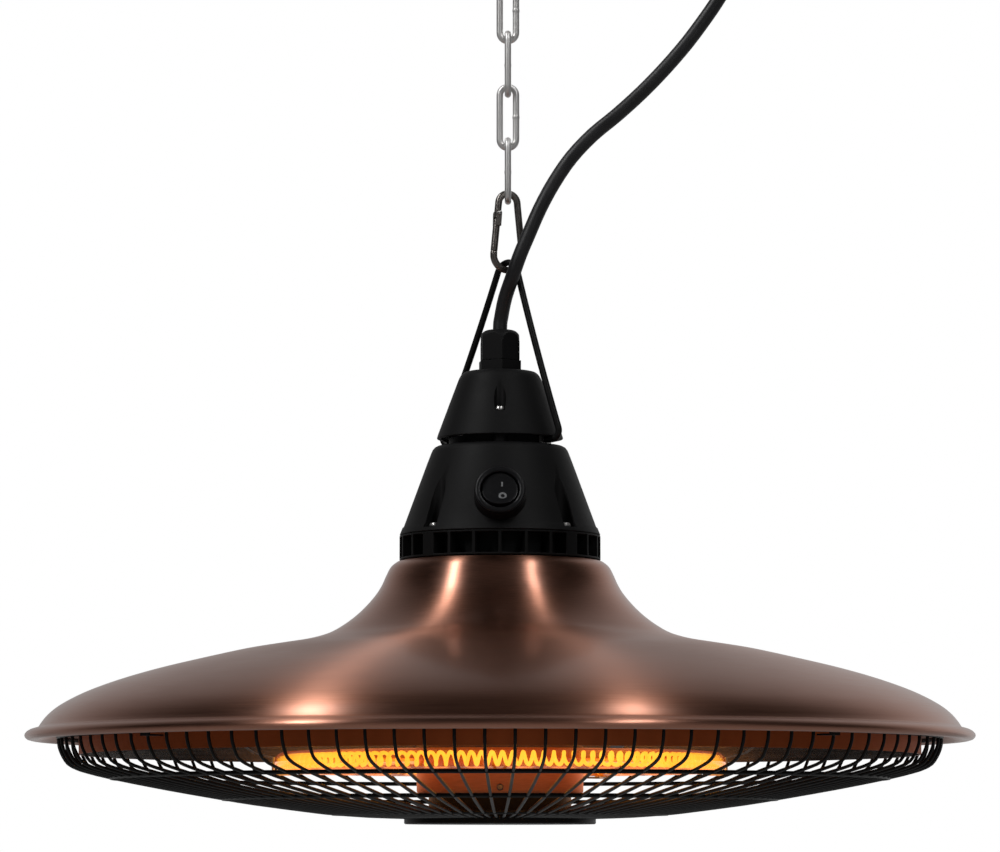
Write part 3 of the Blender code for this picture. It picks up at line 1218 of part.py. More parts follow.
def tube_clips(heater):
    """Bent sheet arms from the reflector's ceiling down and round the outside of the glass."""
    hook = TUBE_RING_RADIUS + TUBE_RADIUS + SEAT_GAP + CLIP_SHEET / 2
    under = TUBE_Z - TUBE_RADIUS - SEAT_GAP - CLIP_SHEET / 2
    far = REFLECTOR_RADIUS - CLIP_FOOT_INSET
    near = far - CLIP_FOOT_LENGTH
    down = SEAT_GAP + CLIP_SHEET / 2
    line = [
        (far, reflector_under(far) - down), (near, reflector_under(near) - down),
        (hook + CLIP_ELBOW_REACH, TUBE_Z + TUBE_RADIUS), (hook, TUBE_Z + TUBE_RADIUS / 2), (hook, under),
        (TUBE_RING_RADIUS - TUBE_RADIUS, under),
    ]
    for number, azimuth in enumerate(CLIP_AZIMUTHS_DEG, 1):
        clip = add_object(f"tube_clip_{number}", strap(line, CLIP_SHEET, CLIP_WIDTH), "steel", world_place(heater), heater)
        clip.rotation_euler = (0, 0, math.radians(azimuth))


def guard_stations():
    """(radius, height, ring or not) down a guard wire, from the top ring over the knee to the centre plate."""
    reach = GUARD_TOP_RADIUS - GUARD_PLATE_RADIUS
    places = [(1, 0, True), (*GUARD_KNEE_SHARES, False), *((a, b, True) for a, b in GUARD_RING_SHARES), (0, 1, False)]
    return [(GUARD_PLATE_RADIUS + a * reach, GUARD_TOP - b * GUARD_DEPTH, ring) for a, b, ring in places]


def guard(heater):
    """Radial wires and rings of three-sided section that share their crossings, fused to a centre plate."""
    stations = guard_stations()
    last = len(stations) - 1
    bm = bmesh.new()
    rows = []
    for wire in range(GUARD_WIRES):
        azimuth = -90 + 360 * (wire + GUARD_FIRST_SHARE) / GUARD_WIRES
        out, across = around(1, azimuth), around(1, azimuth + 90)
        row = []
        for k, (radius, height, ring) in enumerate(stations):
            here = out * radius + Vector((0, 0, height))
            r0, z0, _ = stations[max(k - 1, 0)]
            r1, z1, _ = stations[min(k + 1, last)]
            along = (out * (r1 - r0) + Vector((0, 0, z1 - z0))).normalized()
            if k == last:
                along = -out
            away = along.cross(across).normalized()
            if away.z > 0:
                away = -away
            top, foot = here - away * GUARD_WIRE / 2, here + away * GUARD_WIRE / 2
            half = GUARD_RING_WIRE / 2 if ring else 0
            starts = [top - along * half + across * s * GUARD_WIRE / 2 for s in (-1, 1)]
            ends = [top + along * half + across * s * GUARD_WIRE / 2 for s in (-1, 1)]
            first = [bm.verts.new(p) for p in starts]
            second = [bm.verts.new(p) for p in ends] if ring else first
            row.append((first, second, bm.verts.new(foot), ring))
        rows.append(row)
    for wire, row in enumerate(rows):
        beyond = rows[(wire + 1) % GUARD_WIRES]
        bm.faces.new((row[0][0][0], row[0][0][1], row[0][2]))
        for k, (first, second, foot, ring) in enumerate(row):
            if ring:
                bm.faces.new((first[0], first[1], second[1], second[0]))
                next_first, next_second, next_foot, _ = beyond[k]
                bm.faces.new((first[1], second[1], next_second[0], next_first[0]))
                bm.faces.new((first[1], foot, next_foot, next_first[0]))
                bm.faces.new((second[1], foot, next_foot, next_second[0]))
            if k < last:
                below_first, _, below_foot, _ = row[k + 1]
                bm.faces.new((second[0], second[1], below_first[1], below_first[0]))
                for side in (0, 1):
                    bm.faces.new((second[side], below_first[side], below_foot, foot))
        bm.faces.new((row[last][0][1], beyond[last][0][0], beyond[last][2], row[last][2]))
    plate_top = stations[last][1] + GUARD_WIRE / 2
    plate_foot = plate_top - GUARD_WIRE - GUARD_PLATE_STEP
    bore = []
    for height in (plate_top, plate_foot):
        bore.append([bm.verts.new(around(GUARD_HOLE_RADIUS, 360 * k / SCREW_SIDES, height)) for k in range(SCREW_SIDES)])
    for k in range(SCREW_SIDES):
        n = (k + 1) % SCREW_SIDES
        bm.faces.new((bore[0][k], bore[0][n], bore[1][n], bore[1][k]))
    upper = [vert for row in rows for vert in row[last][0]]
    edge = [row[last][2] for row in rows]
    lower = [bm.verts.new((*vert.co[:2], plate_foot)) for vert in edge]
    for k in range(GUARD_WIRES):
        n = (k + 1) % GUARD_WIRES
        bm.faces.new((edge[k], edge[n], lower[n], lower[k]))
    for rim, hole in ((upper, bore[0]), (lower, bore[1])):
        fill_between(bm, rim, hole)
    add_object("guard", bm, "black_wire", world_place(heater), heater)


def fill_between(bm, rim, hole):
    """Flat faces between a rim of many points and a hole of few, both going round the same way."""
    def azimuth(vert):
        return math.atan2(vert.co.y, vert.co.x) % math.tau

    rim = sorted(rim, key=azimuth)
    hole = sorted(hole, key=azimuth)
    a, b = 0, 0
    while a < len(rim) or b < len(hole):
        outer, inner = rim[a % len(rim)], hole[b % len(hole)]
        next_outer = azimuth(rim[(a + 1) % len(rim)]) + math.tau * ((a + 1) // len(rim))
        next_inner = azimuth(hole[(b + 1) % len(hole)]) + math.tau * ((b + 1) // len(hole))
        if b >= len(hole) or (a < len(rim) and next_outer <= next_inner):
            bm.faces.new((inner, outer, rim[(a + 1) % len(rim)]))
            a += 1
        else:
            bm.faces.new((inner, outer, hole[(b + 1) % len(hole)]))
            b += 1


def guard_fixings(heater, lip_inside):
    """The centre hub and screw, and the clips that hold the top ring up inside the lip."""
    at = world_place(heater)
    low, high = GUARD_FOOT + GUARD_WIRE / 2 + SEAT_GAP, CYLINDER_FOOT - SEAT_GAP
    hole = SCREW_RADIUS + RUN_GAP
    post = [(hole, low), (GUARD_POST_RADIUS, low), (GUARD_POST_RADIUS, high), (hole, high)]
    add_object("guard_post", lathe(post, LARGE_ROUND), "black_wire", at, heater)
    bm = screw_mesh(CYLINDER_FOOT + CYLINDER_WALL + SEAT_GAP, GUARD_FOOT - GUARD_WIRE / 2, GUARD_SCREW_HEAD_RADIUS)
    add_object("guard_screw", bm, "steel", at, heater)

    outer = lip_inside * math.cos(math.pi / ROUND) - 2 * SEAT_GAP - GUARD_CLIP_SHEET / 2
    shelf = GUARD_TOP - GUARD_RING_WIRE / 2 - 2 * SEAT_GAP - GUARD_CLIP_SHEET / 2
    line = [(outer, shelf + GUARD_CLIP_RISE), (outer, shelf), (outer - GUARD_CLIP_REACH, shelf)]
    for number in range(GUARD_CLIPS):
        clip = add_object(
            f"guard_clip_{number + 1}", strap(line, GUARD_CLIP_SHEET, GUARD_CLIP_WIDTH), "black_wire", at, heater
        )
        clip.rotation_euler = (0, 0, math.radians(GUARD_CLIP_FIRST_DEG + 360 * number / GUARD_CLIPS))


def inner_leads(heater):
    """The supply lead from the gland to the terminal block, and the two leads from the block to the tube's ends."""
    x, y, z = BLOCK_SIZE
    cx, cy = BLOCK_AT
    block_top = BASE_PLATE_TOP + SEAT_GAP + z
    well = block_top - BLOCK_WELL_DEPTH + SEAT_GAP
    above = block_top + OVERRUN
    ceiling = HOUSING_TOP - HOUSING_TOP_WALL
    route = [
        Vector((0, 0, CORD_END - SEAT_GAP)), Vector((0, 0, CAP_CAVITY_TOP)), Vector((0, 0, ceiling)),
        Vector((cx / 4, cy / 3, (ceiling * 2 + above) / 3)), Vector((cx * 3 / 4, cy, above + OVERRUN)),
        Vector((cx, cy, block_top)), Vector((cx, cy, well)),
    ]
    cable("supply_lead", smooth_path(route, 2), LEAD_WIRE, "rubber", heater, 0)
    window = REFLECTOR_TOP + CYLINDER_WINDOW_RISE / 2
    for number, side in ((1, -1), (2, 1)):
        drop = lead_drop(side)
        start = drop - around(1, 90 - side * tube_half_gap() + side * 90) * (2 * LEAD_WIRE - SEAT_GAP)
        well_x = cx + side * x / 3
        high = above + OVERRUN / 2
        door = Vector((side * CYLINDER_WINDOW_HALF / 2, CYLINDER_RADIUS + OVERRUN, window))
        over = Vector((drop.x, drop.y - 2 * LEAD_WIRE, window))
        route = [
            start, Vector((drop.x, drop.y, TUBE_Z + LEAD_WIRE)), Vector((drop.x, drop.y, REFLECTOR_CORNER)),
            Vector((drop.x, drop.y, REFLECTOR_CORNER + 3 * OVERRUN)), over, *(over.lerp(door, k / 5) for k in (1, 2, 3, 4)),
            door, Vector((door.x, CYLINDER_RADIUS - OVERRUN, window + OVERRUN)),
            Vector((side * LEAD_WIRE, BASE_PLATE_HOLE / 2, BASE_PLATE_FOOT - 2 * OVERRUN)),
            Vector((side * LEAD_WIRE, 0, BASE_PLATE_TOP + OVERRUN)),
            Vector((side * LEAD_WIRE + cx / 4, -OVERRUN / 2, (BASE_PLATE_TOP + high) / 2)),
            Vector((well_x - cx / 4, cy / 3, high)), Vector((well_x, cy, high)), Vector((well_x, cy, well)),
        ]
        cable(f"heater_lead_{number}", smooth_path(route, 2), LEAD_WIRE, "lead_sleeve", heater, 0)


def cord_route():
    """The cord's points, measured from the gland's axis, from inside the gland to the ceiling grip."""
    x, y = HANG_OFFSET + ROSE_AT[0], ROSE_AT[1]
    rose_foot = -PIVOT_Z - ROSE_HEIGHT
    middle = [Vector((across, deep, GLAND_NUT_TOP + rise)) for across, deep, rise in CORD_ROUTE]
    return [
        Vector((0, 0, CORD_END)), Vector((0, 0, GLAND_NUT_TOP)), *middle,
        Vector((x, y, rose_foot - GRIP_LENGTH)), Vector((x, y, rose_foot + ROSE_WALL)),
    ]


def power_cord(heater):
    """The rubber cord, and the ceiling rose with its grip that the cord ends in."""
    cable("power_cord", smooth_path(cord_route(), 1), CORD_DIAMETER, "rubber", heater, 2)
    bore = CORD_DIAMETER / 2 + CORD_SEAL_GAP
    x, y = ROSE_AT
    rim = ROSE_RADIUS
    cavity = rim - ROSE_WALL
    rose = [
        (bore, -ROSE_HEIGHT), (GRIP_RADIUS, -ROSE_HEIGHT), (rim * 3 / 4, -ROSE_HEIGHT * 4 / 5), (rim, -ROSE_HEIGHT / 3),
        (rim, 0), (cavity, 0), (cavity, -ROSE_HEIGHT / 3), (GRIP_RADIUS, ROSE_WALL - ROSE_HEIGHT), (bore, ROSE_WALL - ROSE_HEIGHT),
    ]
    add_object("cord_rose", lathe(rose, MEDIUM_ROUND), "black_plastic", (x, y, 0), heater)
    top = -ROSE_HEIGHT - SEAT_GAP
    grip = [
        (bore, top - GRIP_LENGTH), (GRIP_FOOT_RADIUS, top - GRIP_LENGTH), (GRIP_RADIUS - ROSE_WALL / 4, top - GRIP_LENGTH / 2),
        (GRIP_RADIUS, top), (bore, top),
    ]
    add_object("cord_grip", lathe(grip, SMALL_ROUND), "rubber", (x, y, 0), heater)


def main():
    clear_scene()
    plate = ceiling_plate()
    ceiling_screws(plate)
    ceiling_hook(plate)
    last_link = chain(plate)
    body = snap_hook(last_link)
    snap_gate(body)
    wire = bail(body)
    heater = empty("heater_pivot", (-HANG_OFFSET, 0, PIVOT_Z), wire)
    hanger_bracket(heater)
    top_cap(heater)
    cap_screws(heater)
    gland(heater)
    lower_housing(heater)
    housing_screws(heater)
    switch(heater)
    vent_ring(heater)
    base_plate(heater)
    terminal_block(heater)
    thermal_cutout(heater)
    lip_inside = shade(heater)
    reflector(heater)
    centre_cylinder(heater)
    quartz_heater(heater)
    tube_clips(heater)
    guard(heater)
    guard_fixings(heater, lip_inside)
    inner_leads(heater)
    power_cord(heater)


main()
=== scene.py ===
"""The look of a hanging electric patio heater: chain, snap hook, wire bail, black housing, copper shade and guard."""

import math

import bmesh
import bpy
from mathutils import Matrix, Vector


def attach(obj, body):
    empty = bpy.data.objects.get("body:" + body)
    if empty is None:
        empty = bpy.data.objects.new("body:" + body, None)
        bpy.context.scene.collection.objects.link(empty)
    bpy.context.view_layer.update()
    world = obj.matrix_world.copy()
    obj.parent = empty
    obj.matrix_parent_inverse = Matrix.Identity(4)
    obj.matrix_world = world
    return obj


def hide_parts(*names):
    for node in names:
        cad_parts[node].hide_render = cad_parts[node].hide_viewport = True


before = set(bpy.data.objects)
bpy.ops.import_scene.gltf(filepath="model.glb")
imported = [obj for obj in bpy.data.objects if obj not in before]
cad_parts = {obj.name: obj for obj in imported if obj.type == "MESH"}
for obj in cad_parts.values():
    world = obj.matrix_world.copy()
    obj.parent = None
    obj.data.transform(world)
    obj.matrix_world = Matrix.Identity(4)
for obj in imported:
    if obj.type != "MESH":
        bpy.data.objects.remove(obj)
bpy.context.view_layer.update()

# Everything below is in millimetres in the row frame, with +Z up, and MM turns it into metres.
MM = 0.001
HEATER_X = -3.6
PIVOT_Z = -233.4

CAP_RIM, CAP_TOP = -231.35, -201.45
HOUSING_TOP, HOUSING_FOOT = -235.45, -275.75
VENT_TOP, VENT_FOOT = -276.05, -286.95
SHADE_TOP, SHADE_EDGE = -287.25, -361.75
GLAND_FOOT, GLAND_SHELF, NUT_FOOT, NUT_TOP = -201.15, -196.65, -196.35, -182.55
TUBE_Z = -377.85
TUBE_R = 96.7

# Camera: the photograph's viewing angle, a little below the shade's rim
CAMERA_AT = (HEATER_X, -2030.0, -419.0)
CAMERA_PITCH_DEG = 5.43
CAMERA_LENS = 162.4


def metres(point):
    return Vector(point) * MM


def add_camera():
    data = bpy.data.cameras.new("camera")
    data.lens = CAMERA_LENS
    data.sensor_width = 36
    data.clip_end = 60
    made = bpy.data.objects.new("camera", data)
    bpy.context.collection.objects.link(made)
    made.location = metres(CAMERA_AT)
    made.rotation_euler = (math.radians(90 + CAMERA_PITCH_DEG), 0, 0)
    bpy.context.scene.camera = made


# ---------------------------------------------------------------- node materials


class Graph:
    """A material's node graph with short calls for the nodes that repeat."""

    def __init__(self, name):
        self.made = bpy.data.materials.new(name)
        self.made.use_nodes = True
        self.tree = self.made.node_tree
        self.shader = self.tree.nodes["Principled BSDF"]

    def node(self, kind, inputs=(), **settings):
        made = self.tree.nodes.new(kind)
        for key, value in settings.items():
            setattr(made, key, value)
        for socket, value in dict(inputs).items():
            self.put(made.inputs[socket], value)
        return made

    def put(self, socket, value):
        if isinstance(value, bpy.types.NodeSocket):
            self.tree.links.new(value, socket)
        else:
            socket.default_value = value

    def set(self, **values):
        for name, value in values.items():
            self.put(self.shader.inputs[name.replace("_", " ")], value)
        return self

    def place(self):
        return self.node("ShaderNodeTexCoord").outputs["Object"]

    def stretch(self, vector, scale):
        return self.node("ShaderNodeMapping", {"Vector": vector, "Scale": scale}).outputs["Vector"]

    def noise(self, vector, scale, detail=3.0, rough=0.55, distort=0.0):
        inputs = {"Vector": vector, "Scale": scale, "Detail": detail, "Roughness": rough, "Distortion": distort}
        return self.node("ShaderNodeTexNoise", inputs).outputs["Fac"]

    def span(self, value, low, high, start=0.3, stop=0.7):
        inputs = {"Value": value, "From Min": start, "From Max": stop, "To Min": low, "To Max": high}
        return self.node("ShaderNodeMapRange", inputs).outputs["Result"]

    def blend(self, factor, first, second):
        mix = self.node("ShaderNodeMix", data_type="RGBA")
        self.put(mix.inputs["Factor"], factor)
        self.put(mix.inputs["A"], rgba(first) if isinstance(first, tuple) else first)
        self.put(mix.inputs["B"], rgba(second) if isinstance(second, tuple) else second)
        return mix.outputs["Result"]

    def bump(self, height, strength, distance, under=None):
        inputs = {"Height": height, "Strength": strength, "Distance": distance}
        if under is not None:
            inputs["Normal"] = under
        return self.node("ShaderNodeBump", inputs).outputs["Normal"]

    def math(self, operation, first, second=0.0):
        made = self.node("ShaderNodeMath", operation=operation)
        self.put(made.inputs[0], first)
        self.put(made.inputs[1], second)
        return made.outputs[0]

    def polar(self):
        """(distance from the axis, height, angle) of the object's own frame, in metres and radians."""
        parts = self.node("ShaderNodeSeparateXYZ", {"Vector": self.place()}).outputs
        squares = self.math("ADD", self.math("MULTIPLY", parts["X"], parts["X"]), self.math("MULTIPLY", parts["Y"], parts["Y"]))
        radius = self.math("SQRT", squares)
        angle = self.math("ARCTAN2", parts["Y"], parts["X"])
        return radius, parts["Z"], angle

    def join(self, x, y, z):
        return self.node("ShaderNodeCombineXYZ", {"X": x, "Y": y, "Z": z}).outputs["Vector"]


def rgba(colour):
    return (*colour[:3], 1.0)


def brushed_metal(name, base, dark, rough, anisotropy, line_scale, coat=0.0, bump=0.15, wall=None, painted_shade_band=None):
    """Metal with fine lines running round its own axis, with a second colour beyond a radius and, where
    painted_shade_band is given, a painted shade over a height.
    """
    g = Graph(name)
    radius, height, angle = g.polar()
    lines = g.noise(g.join(radius, height, g.math("MULTIPLY", angle, 0.004)), line_scale, 4.0, 0.65)
    broad = g.noise(g.place(), 9.0, 3.0, 0.6)
    colour = g.blend(g.span(lines, 0.0, 1.0), dark, base)
    shine = g.math("ADD", g.span(lines, rough - 0.05, rough + 0.05), g.span(broad, -0.03, 0.03))
    if wall:
        beyond = g.span(radius, 0.0, 1.0, (wall[0] - 0.15) * MM, (wall[0] + 0.15) * MM)
        colour = g.blend(beyond, colour, wall[1])
        shine = g.math("ADD", shine, g.math("MULTIPLY", beyond, 0.35))
    # Painted shade: over the given height band the colour turns to a darker one, standing in for shade.
    if painted_shade_band:
        over = g.span(height, 0.0, 1.0, painted_shade_band[0] * MM, painted_shade_band[1] * MM)
        colour = g.blend(over, colour, painted_shade_band[2])
    g.set(
        Base_Color=colour,
        Metallic=1.0,
        Roughness=shine,
        Anisotropic=anisotropy,
        Anisotropic_Rotation=0.25,
        Coat_Weight=coat,
        Coat_Roughness=0.22,
        Normal=g.bump(lines, bump, 0.00004),
    )
    if anisotropy:
        g.put(g.shader.inputs["Tangent"], g.node("ShaderNodeTangent", direction_type="RADIAL", axis="Z").outputs[0])
    return g.made


def plain_metal(name, base, dark, rough, grain=240.0, bump=0.2, wear=0.0, edge=(0.6, 0.6, 0.6)):
    """Metal with small stains, a grain and lighter rubbed spots."""
    g = Graph(name)
    stains = g.noise(g.place(), 70.0, 5.0, 0.6)
    fine = g.noise(g.place(), grain * 6, 3.0, 0.6)
    colour = g.blend(g.span(stains, 0.0, 1.0), dark, base)
    if wear:
        spots = g.noise(g.place(), 150.0, 6.0, 0.7)
        colour = g.blend(g.span(spots, 0.0, wear, 0.55, 0.72), colour, edge)
    g.set(
        Base_Color=colour,
        Metallic=1.0,
        Roughness=g.math("ADD", g.span(stains, rough + 0.09, rough - 0.05), g.span(fine, -0.03, 0.03)),
        Normal=g.bump(fine, bump, 0.00003),
    )
    return g.made


def moulded(name, base, rough, grain=2600.0, bump=0.35, dust=(0.05, 0.05, 0.052), depth=0.00005, sheen=0.24):
    """Moulded plastic: an even spark-eroded grain and a trace of dust and handling."""
    g = Graph(name)
    cells = g.node("ShaderNodeTexVoronoi", {"Vector": g.place(), "Scale": grain}).outputs["Distance"]
    fine = g.noise(g.place(), grain * 0.6, 2.0, 0.5)
    broad = g.noise(g.place(), 26.0, 5.0, 0.6)
    g.set(
        Base_Color=g.blend(g.span(broad, 0.0, 0.45, 0.45, 0.75), base, dust),
        Roughness=g.math("ADD", g.span(broad, rough - 0.05, rough + 0.06), g.span(fine, -0.03, 0.03)),
        Specular_IOR_Level=sheen,
        Normal=g.bump(g.math("ADD", cells, g.math("MULTIPLY", fine, 0.6)), bump, depth),
    )
    return g.made


def rubber_cord(name):
    g = Graph(name)
    fine = g.noise(g.place(), 1800.0, 3.0, 0.6)
    broad = g.noise(g.place(), 60.0, 4.0, 0.6)
    g.set(
        Base_Color=g.blend(g.span(broad, 0.0, 1.0), (0.006, 0.006, 0.007), (0.014, 0.014, 0.016)),
        Roughness=g.span(broad, 0.40, 0.54),
        Normal=g.bump(fine, 0.25, 0.00004),
    )
    return g.made


def glowing_coil(name):
    g = Graph(name)
    heat = g.noise(g.place(), 60.0, 3.0, 0.6)
    g.set(
        Base_Color=(0.25, 0.09, 0.03, 1.0),
        Roughness=0.6,
        Emission_Color=g.blend(g.span(heat, 0.0, 1.0), (1.0, 0.58, 0.045), (1.0, 0.76, 0.085)),
        Emission_Strength=1.5,
    )
    return g.made


def painted_glow_glass(name):
    """Clear quartz tinted orange, with a faint emission that is painted glow: the coil's light filling the tube."""
    g = Graph(name)
    painted_glow_noise = g.noise(g.place(), 90.0, 3.0, 0.6)
    g.set(
        Base_Color=(1.0, 0.66, 0.46, 1.0),
        Roughness=0.03,
        IOR=1.46,
        Transmission_Weight=1.0,
        # Painted glow: a faint orange emission stands in for the coil's light filling the glass.
        Emission_Color=g.blend(g.span(painted_glow_noise, 0.0, 1.0), (0.90, 0.11, 0.006), (1.0, 0.19, 0.015)),
        Emission_Strength=0.09,
    )
    return g.made


def ceramic(name):
    g = Graph(name)
    grain = g.noise(g.place(), 900.0, 4.0, 0.6)
    g.set(
        Base_Color=g.blend(g.span(g.noise(g.place(), 120.0), 0.0, 1.0), (0.62, 0.57, 0.48), (0.80, 0.76, 0.68)),
        Roughness=0.65,
        Normal=g.bump(grain, 0.3, 0.00006),
    )
    return g.made


def braided(name):
    """A woven glass sleeve: two crossing sets of strands."""
    g = Graph(name)
    parts = g.node("ShaderNodeSeparateXYZ", {"Vector": g.place()}).outputs
    across = g.math("SINE", g.math("MULTIPLY", g.math("ADD", parts["X"], parts["Z"]), 5200.0))
    along = g.math("SINE", g.math("MULTIPLY", g.math("SUBTRACT", parts["Y"], parts["Z"]), 5200.0))
    weave = g.math("MULTIPLY", across, along)
    g.set(
        Base_Color=g.blend(g.span(weave, 0.0, 1.0, -1.0, 1.0), (0.34, 0.28, 0.20), (0.62, 0.55, 0.44)),
        Roughness=0.8,
        Normal=g.bump(weave, 0.5, 0.0001),
    )
    return g.made


def white_mark(name):
    g = Graph(name)
    worn = g.noise(g.place(), 1500.0, 3.0, 0.6)
    g.set(Base_Color=g.blend(g.span(worn, 0.0, 1.0), (0.14, 0.145, 0.15), (0.24, 0.245, 0.25)), Roughness=0.55)
    return g.made


def make_materials():
    return {
        "copper": brushed_metal("copper", (0.44, 0.205, 0.138), (0.36, 0.158, 0.102), 0.35, 0.93, 2300.0, 0.30, 0.04),
        # Beyond 188 mm radius, the reflector's outer wall gets a dark orange-copper colour and more roughness.
        "reflector": brushed_metal("reflector", (0.46, 0.43, 0.41), (0.34, 0.315, 0.30), 0.20, 0.25, 1500.0, 0.0, 0.10,
                                   (188.0, (0.57, 0.142, 0.044))),
        # Painted glow and painted shade: the centre cylinder's orange colours stand in for the coil's light on its
        # metal, and the dark brown from -382 mm to -375 mm upwards is painted shade where that light doesn't reach.
        "cylinder": brushed_metal("cylinder", (0.68, 0.23, 0.10), (0.55, 0.17, 0.07), 0.42, 0.25, 1500.0, 0.0, 0.08, None,
                                  (-382.0, -375.0, (0.13, 0.075, 0.055))),
        "zinc": plain_metal("zinc", (0.88, 0.87, 0.86), (0.76, 0.75, 0.74), 0.44, 240.0, 0.08),
        "steel": plain_metal("steel", (0.62, 0.61, 0.60), (0.40, 0.39, 0.38), 0.30, 260.0, 0.3),
        "dark_steel": plain_metal("dark_steel", (0.26, 0.24, 0.225), (0.15, 0.135, 0.125), 0.33, 240.0, 0.1, 0.35,
                                  (0.45, 0.42, 0.40)),
        "black_wire": moulded("black_wire", (0.006, 0.006, 0.006), 0.40, 1500.0, 0.10, (0.011, 0.011, 0.011), 0.00002, 0.18),
        "plastic": moulded("plastic", (0.0044, 0.0044, 0.0047), 0.56, 2600.0, 0.22, (0.0064, 0.0064, 0.0068), 0.00005, 0.17),
        "gloss_black": moulded("gloss_black", (0.006, 0.006, 0.007), 0.34, 900.0, 0.05, (0.010, 0.010, 0.011), 0.00002),
        "rubber": rubber_cord("rubber_sheath"),
        "coil": glowing_coil("glowing_coil"),
        "glass": painted_glow_glass("hot_quartz"),
        "ceramic": ceramic("ceramic_body"),
        "white_plastic": moulded("white_plastic", (0.62, 0.60, 0.56), 0.45, 1800.0, 0.2, (0.50, 0.48, 0.44)),
        "braid": braided("braided_sleeve"),
        "mark": white_mark("mark_paint"),
    }


# ---------------------------------------------------------------- shapes


def spline(points, pieces, closed=False):
    """Points of a smooth curve through given ones."""
    points = [Vector(p) for p in points]
    if closed:
        ends = [points[-1], *points, points[0], points[1]]
    else:
        ends = [2 * points[0] - points[1], *points, 2 * points[-1] - points[-2]]
    found = []
    for a, b, c, d in zip(ends, ends[1:], ends[2:], ends[3:]):
        for k in range(pieces):
            t = k / pieces
            found.append(
                b + (c - a) * (t / 2) + (2 * a - 5 * b + 4 * c - d) * (t**2 / 2) + (3 * b - a - 3 * c + d) * (t**3 / 2)
            )
    return found if closed else [*found, points[-1]]


def lathe(profile, steps):
    """A turned body about Z. A profile that starts off the axis is a closed outline."""
    bm = bmesh.new()
    rings = []
    for radius, height in profile:
        if radius < 1e-6:
            rings.append([bm.verts.new((0, 0, height))])
            continue
        turns = [math.tau * k / steps for k in range(steps)]
        rings.append([bm.verts.new((radius * math.cos(a), radius * math.sin(a), height)) for a in turns])
    pairs = list(zip(rings, rings[1:]))
    if profile[0][0] > 1e-6:
        pairs.append((rings[-1], rings[0]))
    for low, high in pairs:
        for k in range(steps):
            n = (k + 1) % steps
            corners = [low[k % len(low)], low[n % len(low)], high[n % len(high)], high[k % len(high)]]
            unique = list(dict.fromkeys(corners))
            if len(unique) > 2:
                bm.faces.new(unique)
    return bm


def loft(rings, closed=False, caps=True):
    bm = bmesh.new()
    add_loft(bm, rings, closed, caps)
    return bm


def add_loft(bm, rings, closed=False, caps=True):
    rows = [[bm.verts.new(point) for point in ring] for ring in rings]
    pairs = list(zip(rows, rows[1:]))
    if closed:
        pairs.append((rows[-1], rows[0]))
    for low, high in pairs:
        for k in range(len(low)):
            n = (k + 1) % len(low)
            bm.faces.new((low[k], low[n], high[n], high[k]))
    if caps and not closed:
        bm.faces.new(rows[0])
        bm.faces.new(rows[-1])


def rows_along(points, radius, sides, closed=False, axis=None):
    """Rings of points round a path. radius may be a number or one for each point."""
    last = len(points) - 1
    rows, side = [], None
    for k, point in enumerate(points):
        before = points[k - 1] if k or closed else point
        after = points[(k + 1) % len(points)] if k < last or closed else point
        along = (after - before).normalized()
        if axis is not None:
            side = axis.cross(along).normalized()
        elif side is None:
            side = along.orthogonal().normalized()
        else:
            side = (side - along * side.dot(along)).normalized()
        other = along.cross(side).normalized()
        r = radius[k] if isinstance(radius, (list, tuple)) else radius
        turns = [math.tau * j / sides for j in range(sides)]
        rows.append([point + r * (math.cos(a) * side + math.sin(a) * other) for a in turns])
    return rows


def rod(points, radius, sides=16, closed=False, axis=None, round_ends=0.0):
    """Round wire along a path, its ends closed by domes when round_ends is their length."""
    rows = rows_along(points, radius, sides, closed, axis)
    if round_ends and not closed:
        for end, inner in ((0, 1), (-1, -2)):
            out = (points[end] - points[inner]).normalized()
            centre = points[end]
            ring = rows[end]
            domes = []
            for step in (1, 2, 3):
                a = math.radians(step * 28)
                domes.append([centre + (p - centre) * math.cos(a) + out * round_ends * math.sin(a) for p in ring])
            rows = domes[::-1] + rows if end == 0 else rows + domes
    return loft(rows, closed)


def cylinder(radius, low, high, sides=32, at=(0, 0), turn=0.0):
    x, y = at
    turns = [math.tau * k / sides + turn for k in range(sides)]
    return loft([[Vector((x + radius * math.cos(a), y + radius * math.sin(a), z)) for a in turns] for z in (low, high)])


def box(low, high):
    (x0, y0, z0), (x1, y1, z1) = low, high
    corners = ((x0, y0), (x1, y0), (x1, y1), (x0, y1))
    return loft([[Vector((x, y, z)) for x, y in corners] for z in (z0, z1)])


def arc(centre, radius, start_deg, end_deg, pieces):
    found = []
    for k in range(pieces + 1):
        a = math.radians(start_deg + (end_deg - start_deg) * k / pieces)
        found.append((centre[0] + radius * math.cos(a), centre[1] + radius * math.sin(a)))
    return found


def around(radius, degrees, height=0.0):
    a = math.radians(degrees)
    return Vector((radius * math.cos(a), radius * math.sin(a), height))


def turned(bm, degrees, axis="Z"):
    bm.transform(Matrix.Rotation(math.radians(degrees), 4, axis))
    return bm


def moved(bm, x=0, y=0, z=0):
    bm.transform(Matrix.Translation((x, y, z)))
    return bm


def merge(*parts):
    whole = bmesh.new()
    for part in parts:
        held = bpy.data.meshes.new("held")
        part.to_mesh(held)
        part.free()
        whole.from_mesh(held)
        bpy.data.meshes.remove(held)
    return whole


def offset_line(points, distance):
    found = []
    for k, (x, z) in enumerate(points):
        normals = []
        for a, b in ((k - 1, k), (k, k + 1)):
            if 0 <= a and b < len(points):
                run = Vector((points[b][0] - points[a][0], points[b][1] - points[a][1])).normalized()
                normals.append(Vector((run.y, -run.x)))
        mean = sum(normals, Vector((0, 0))).normalized()
        reach = distance / mean.dot(normals[0])
        found.append((x + mean.x * reach, z + mean.y * reach))
    return found


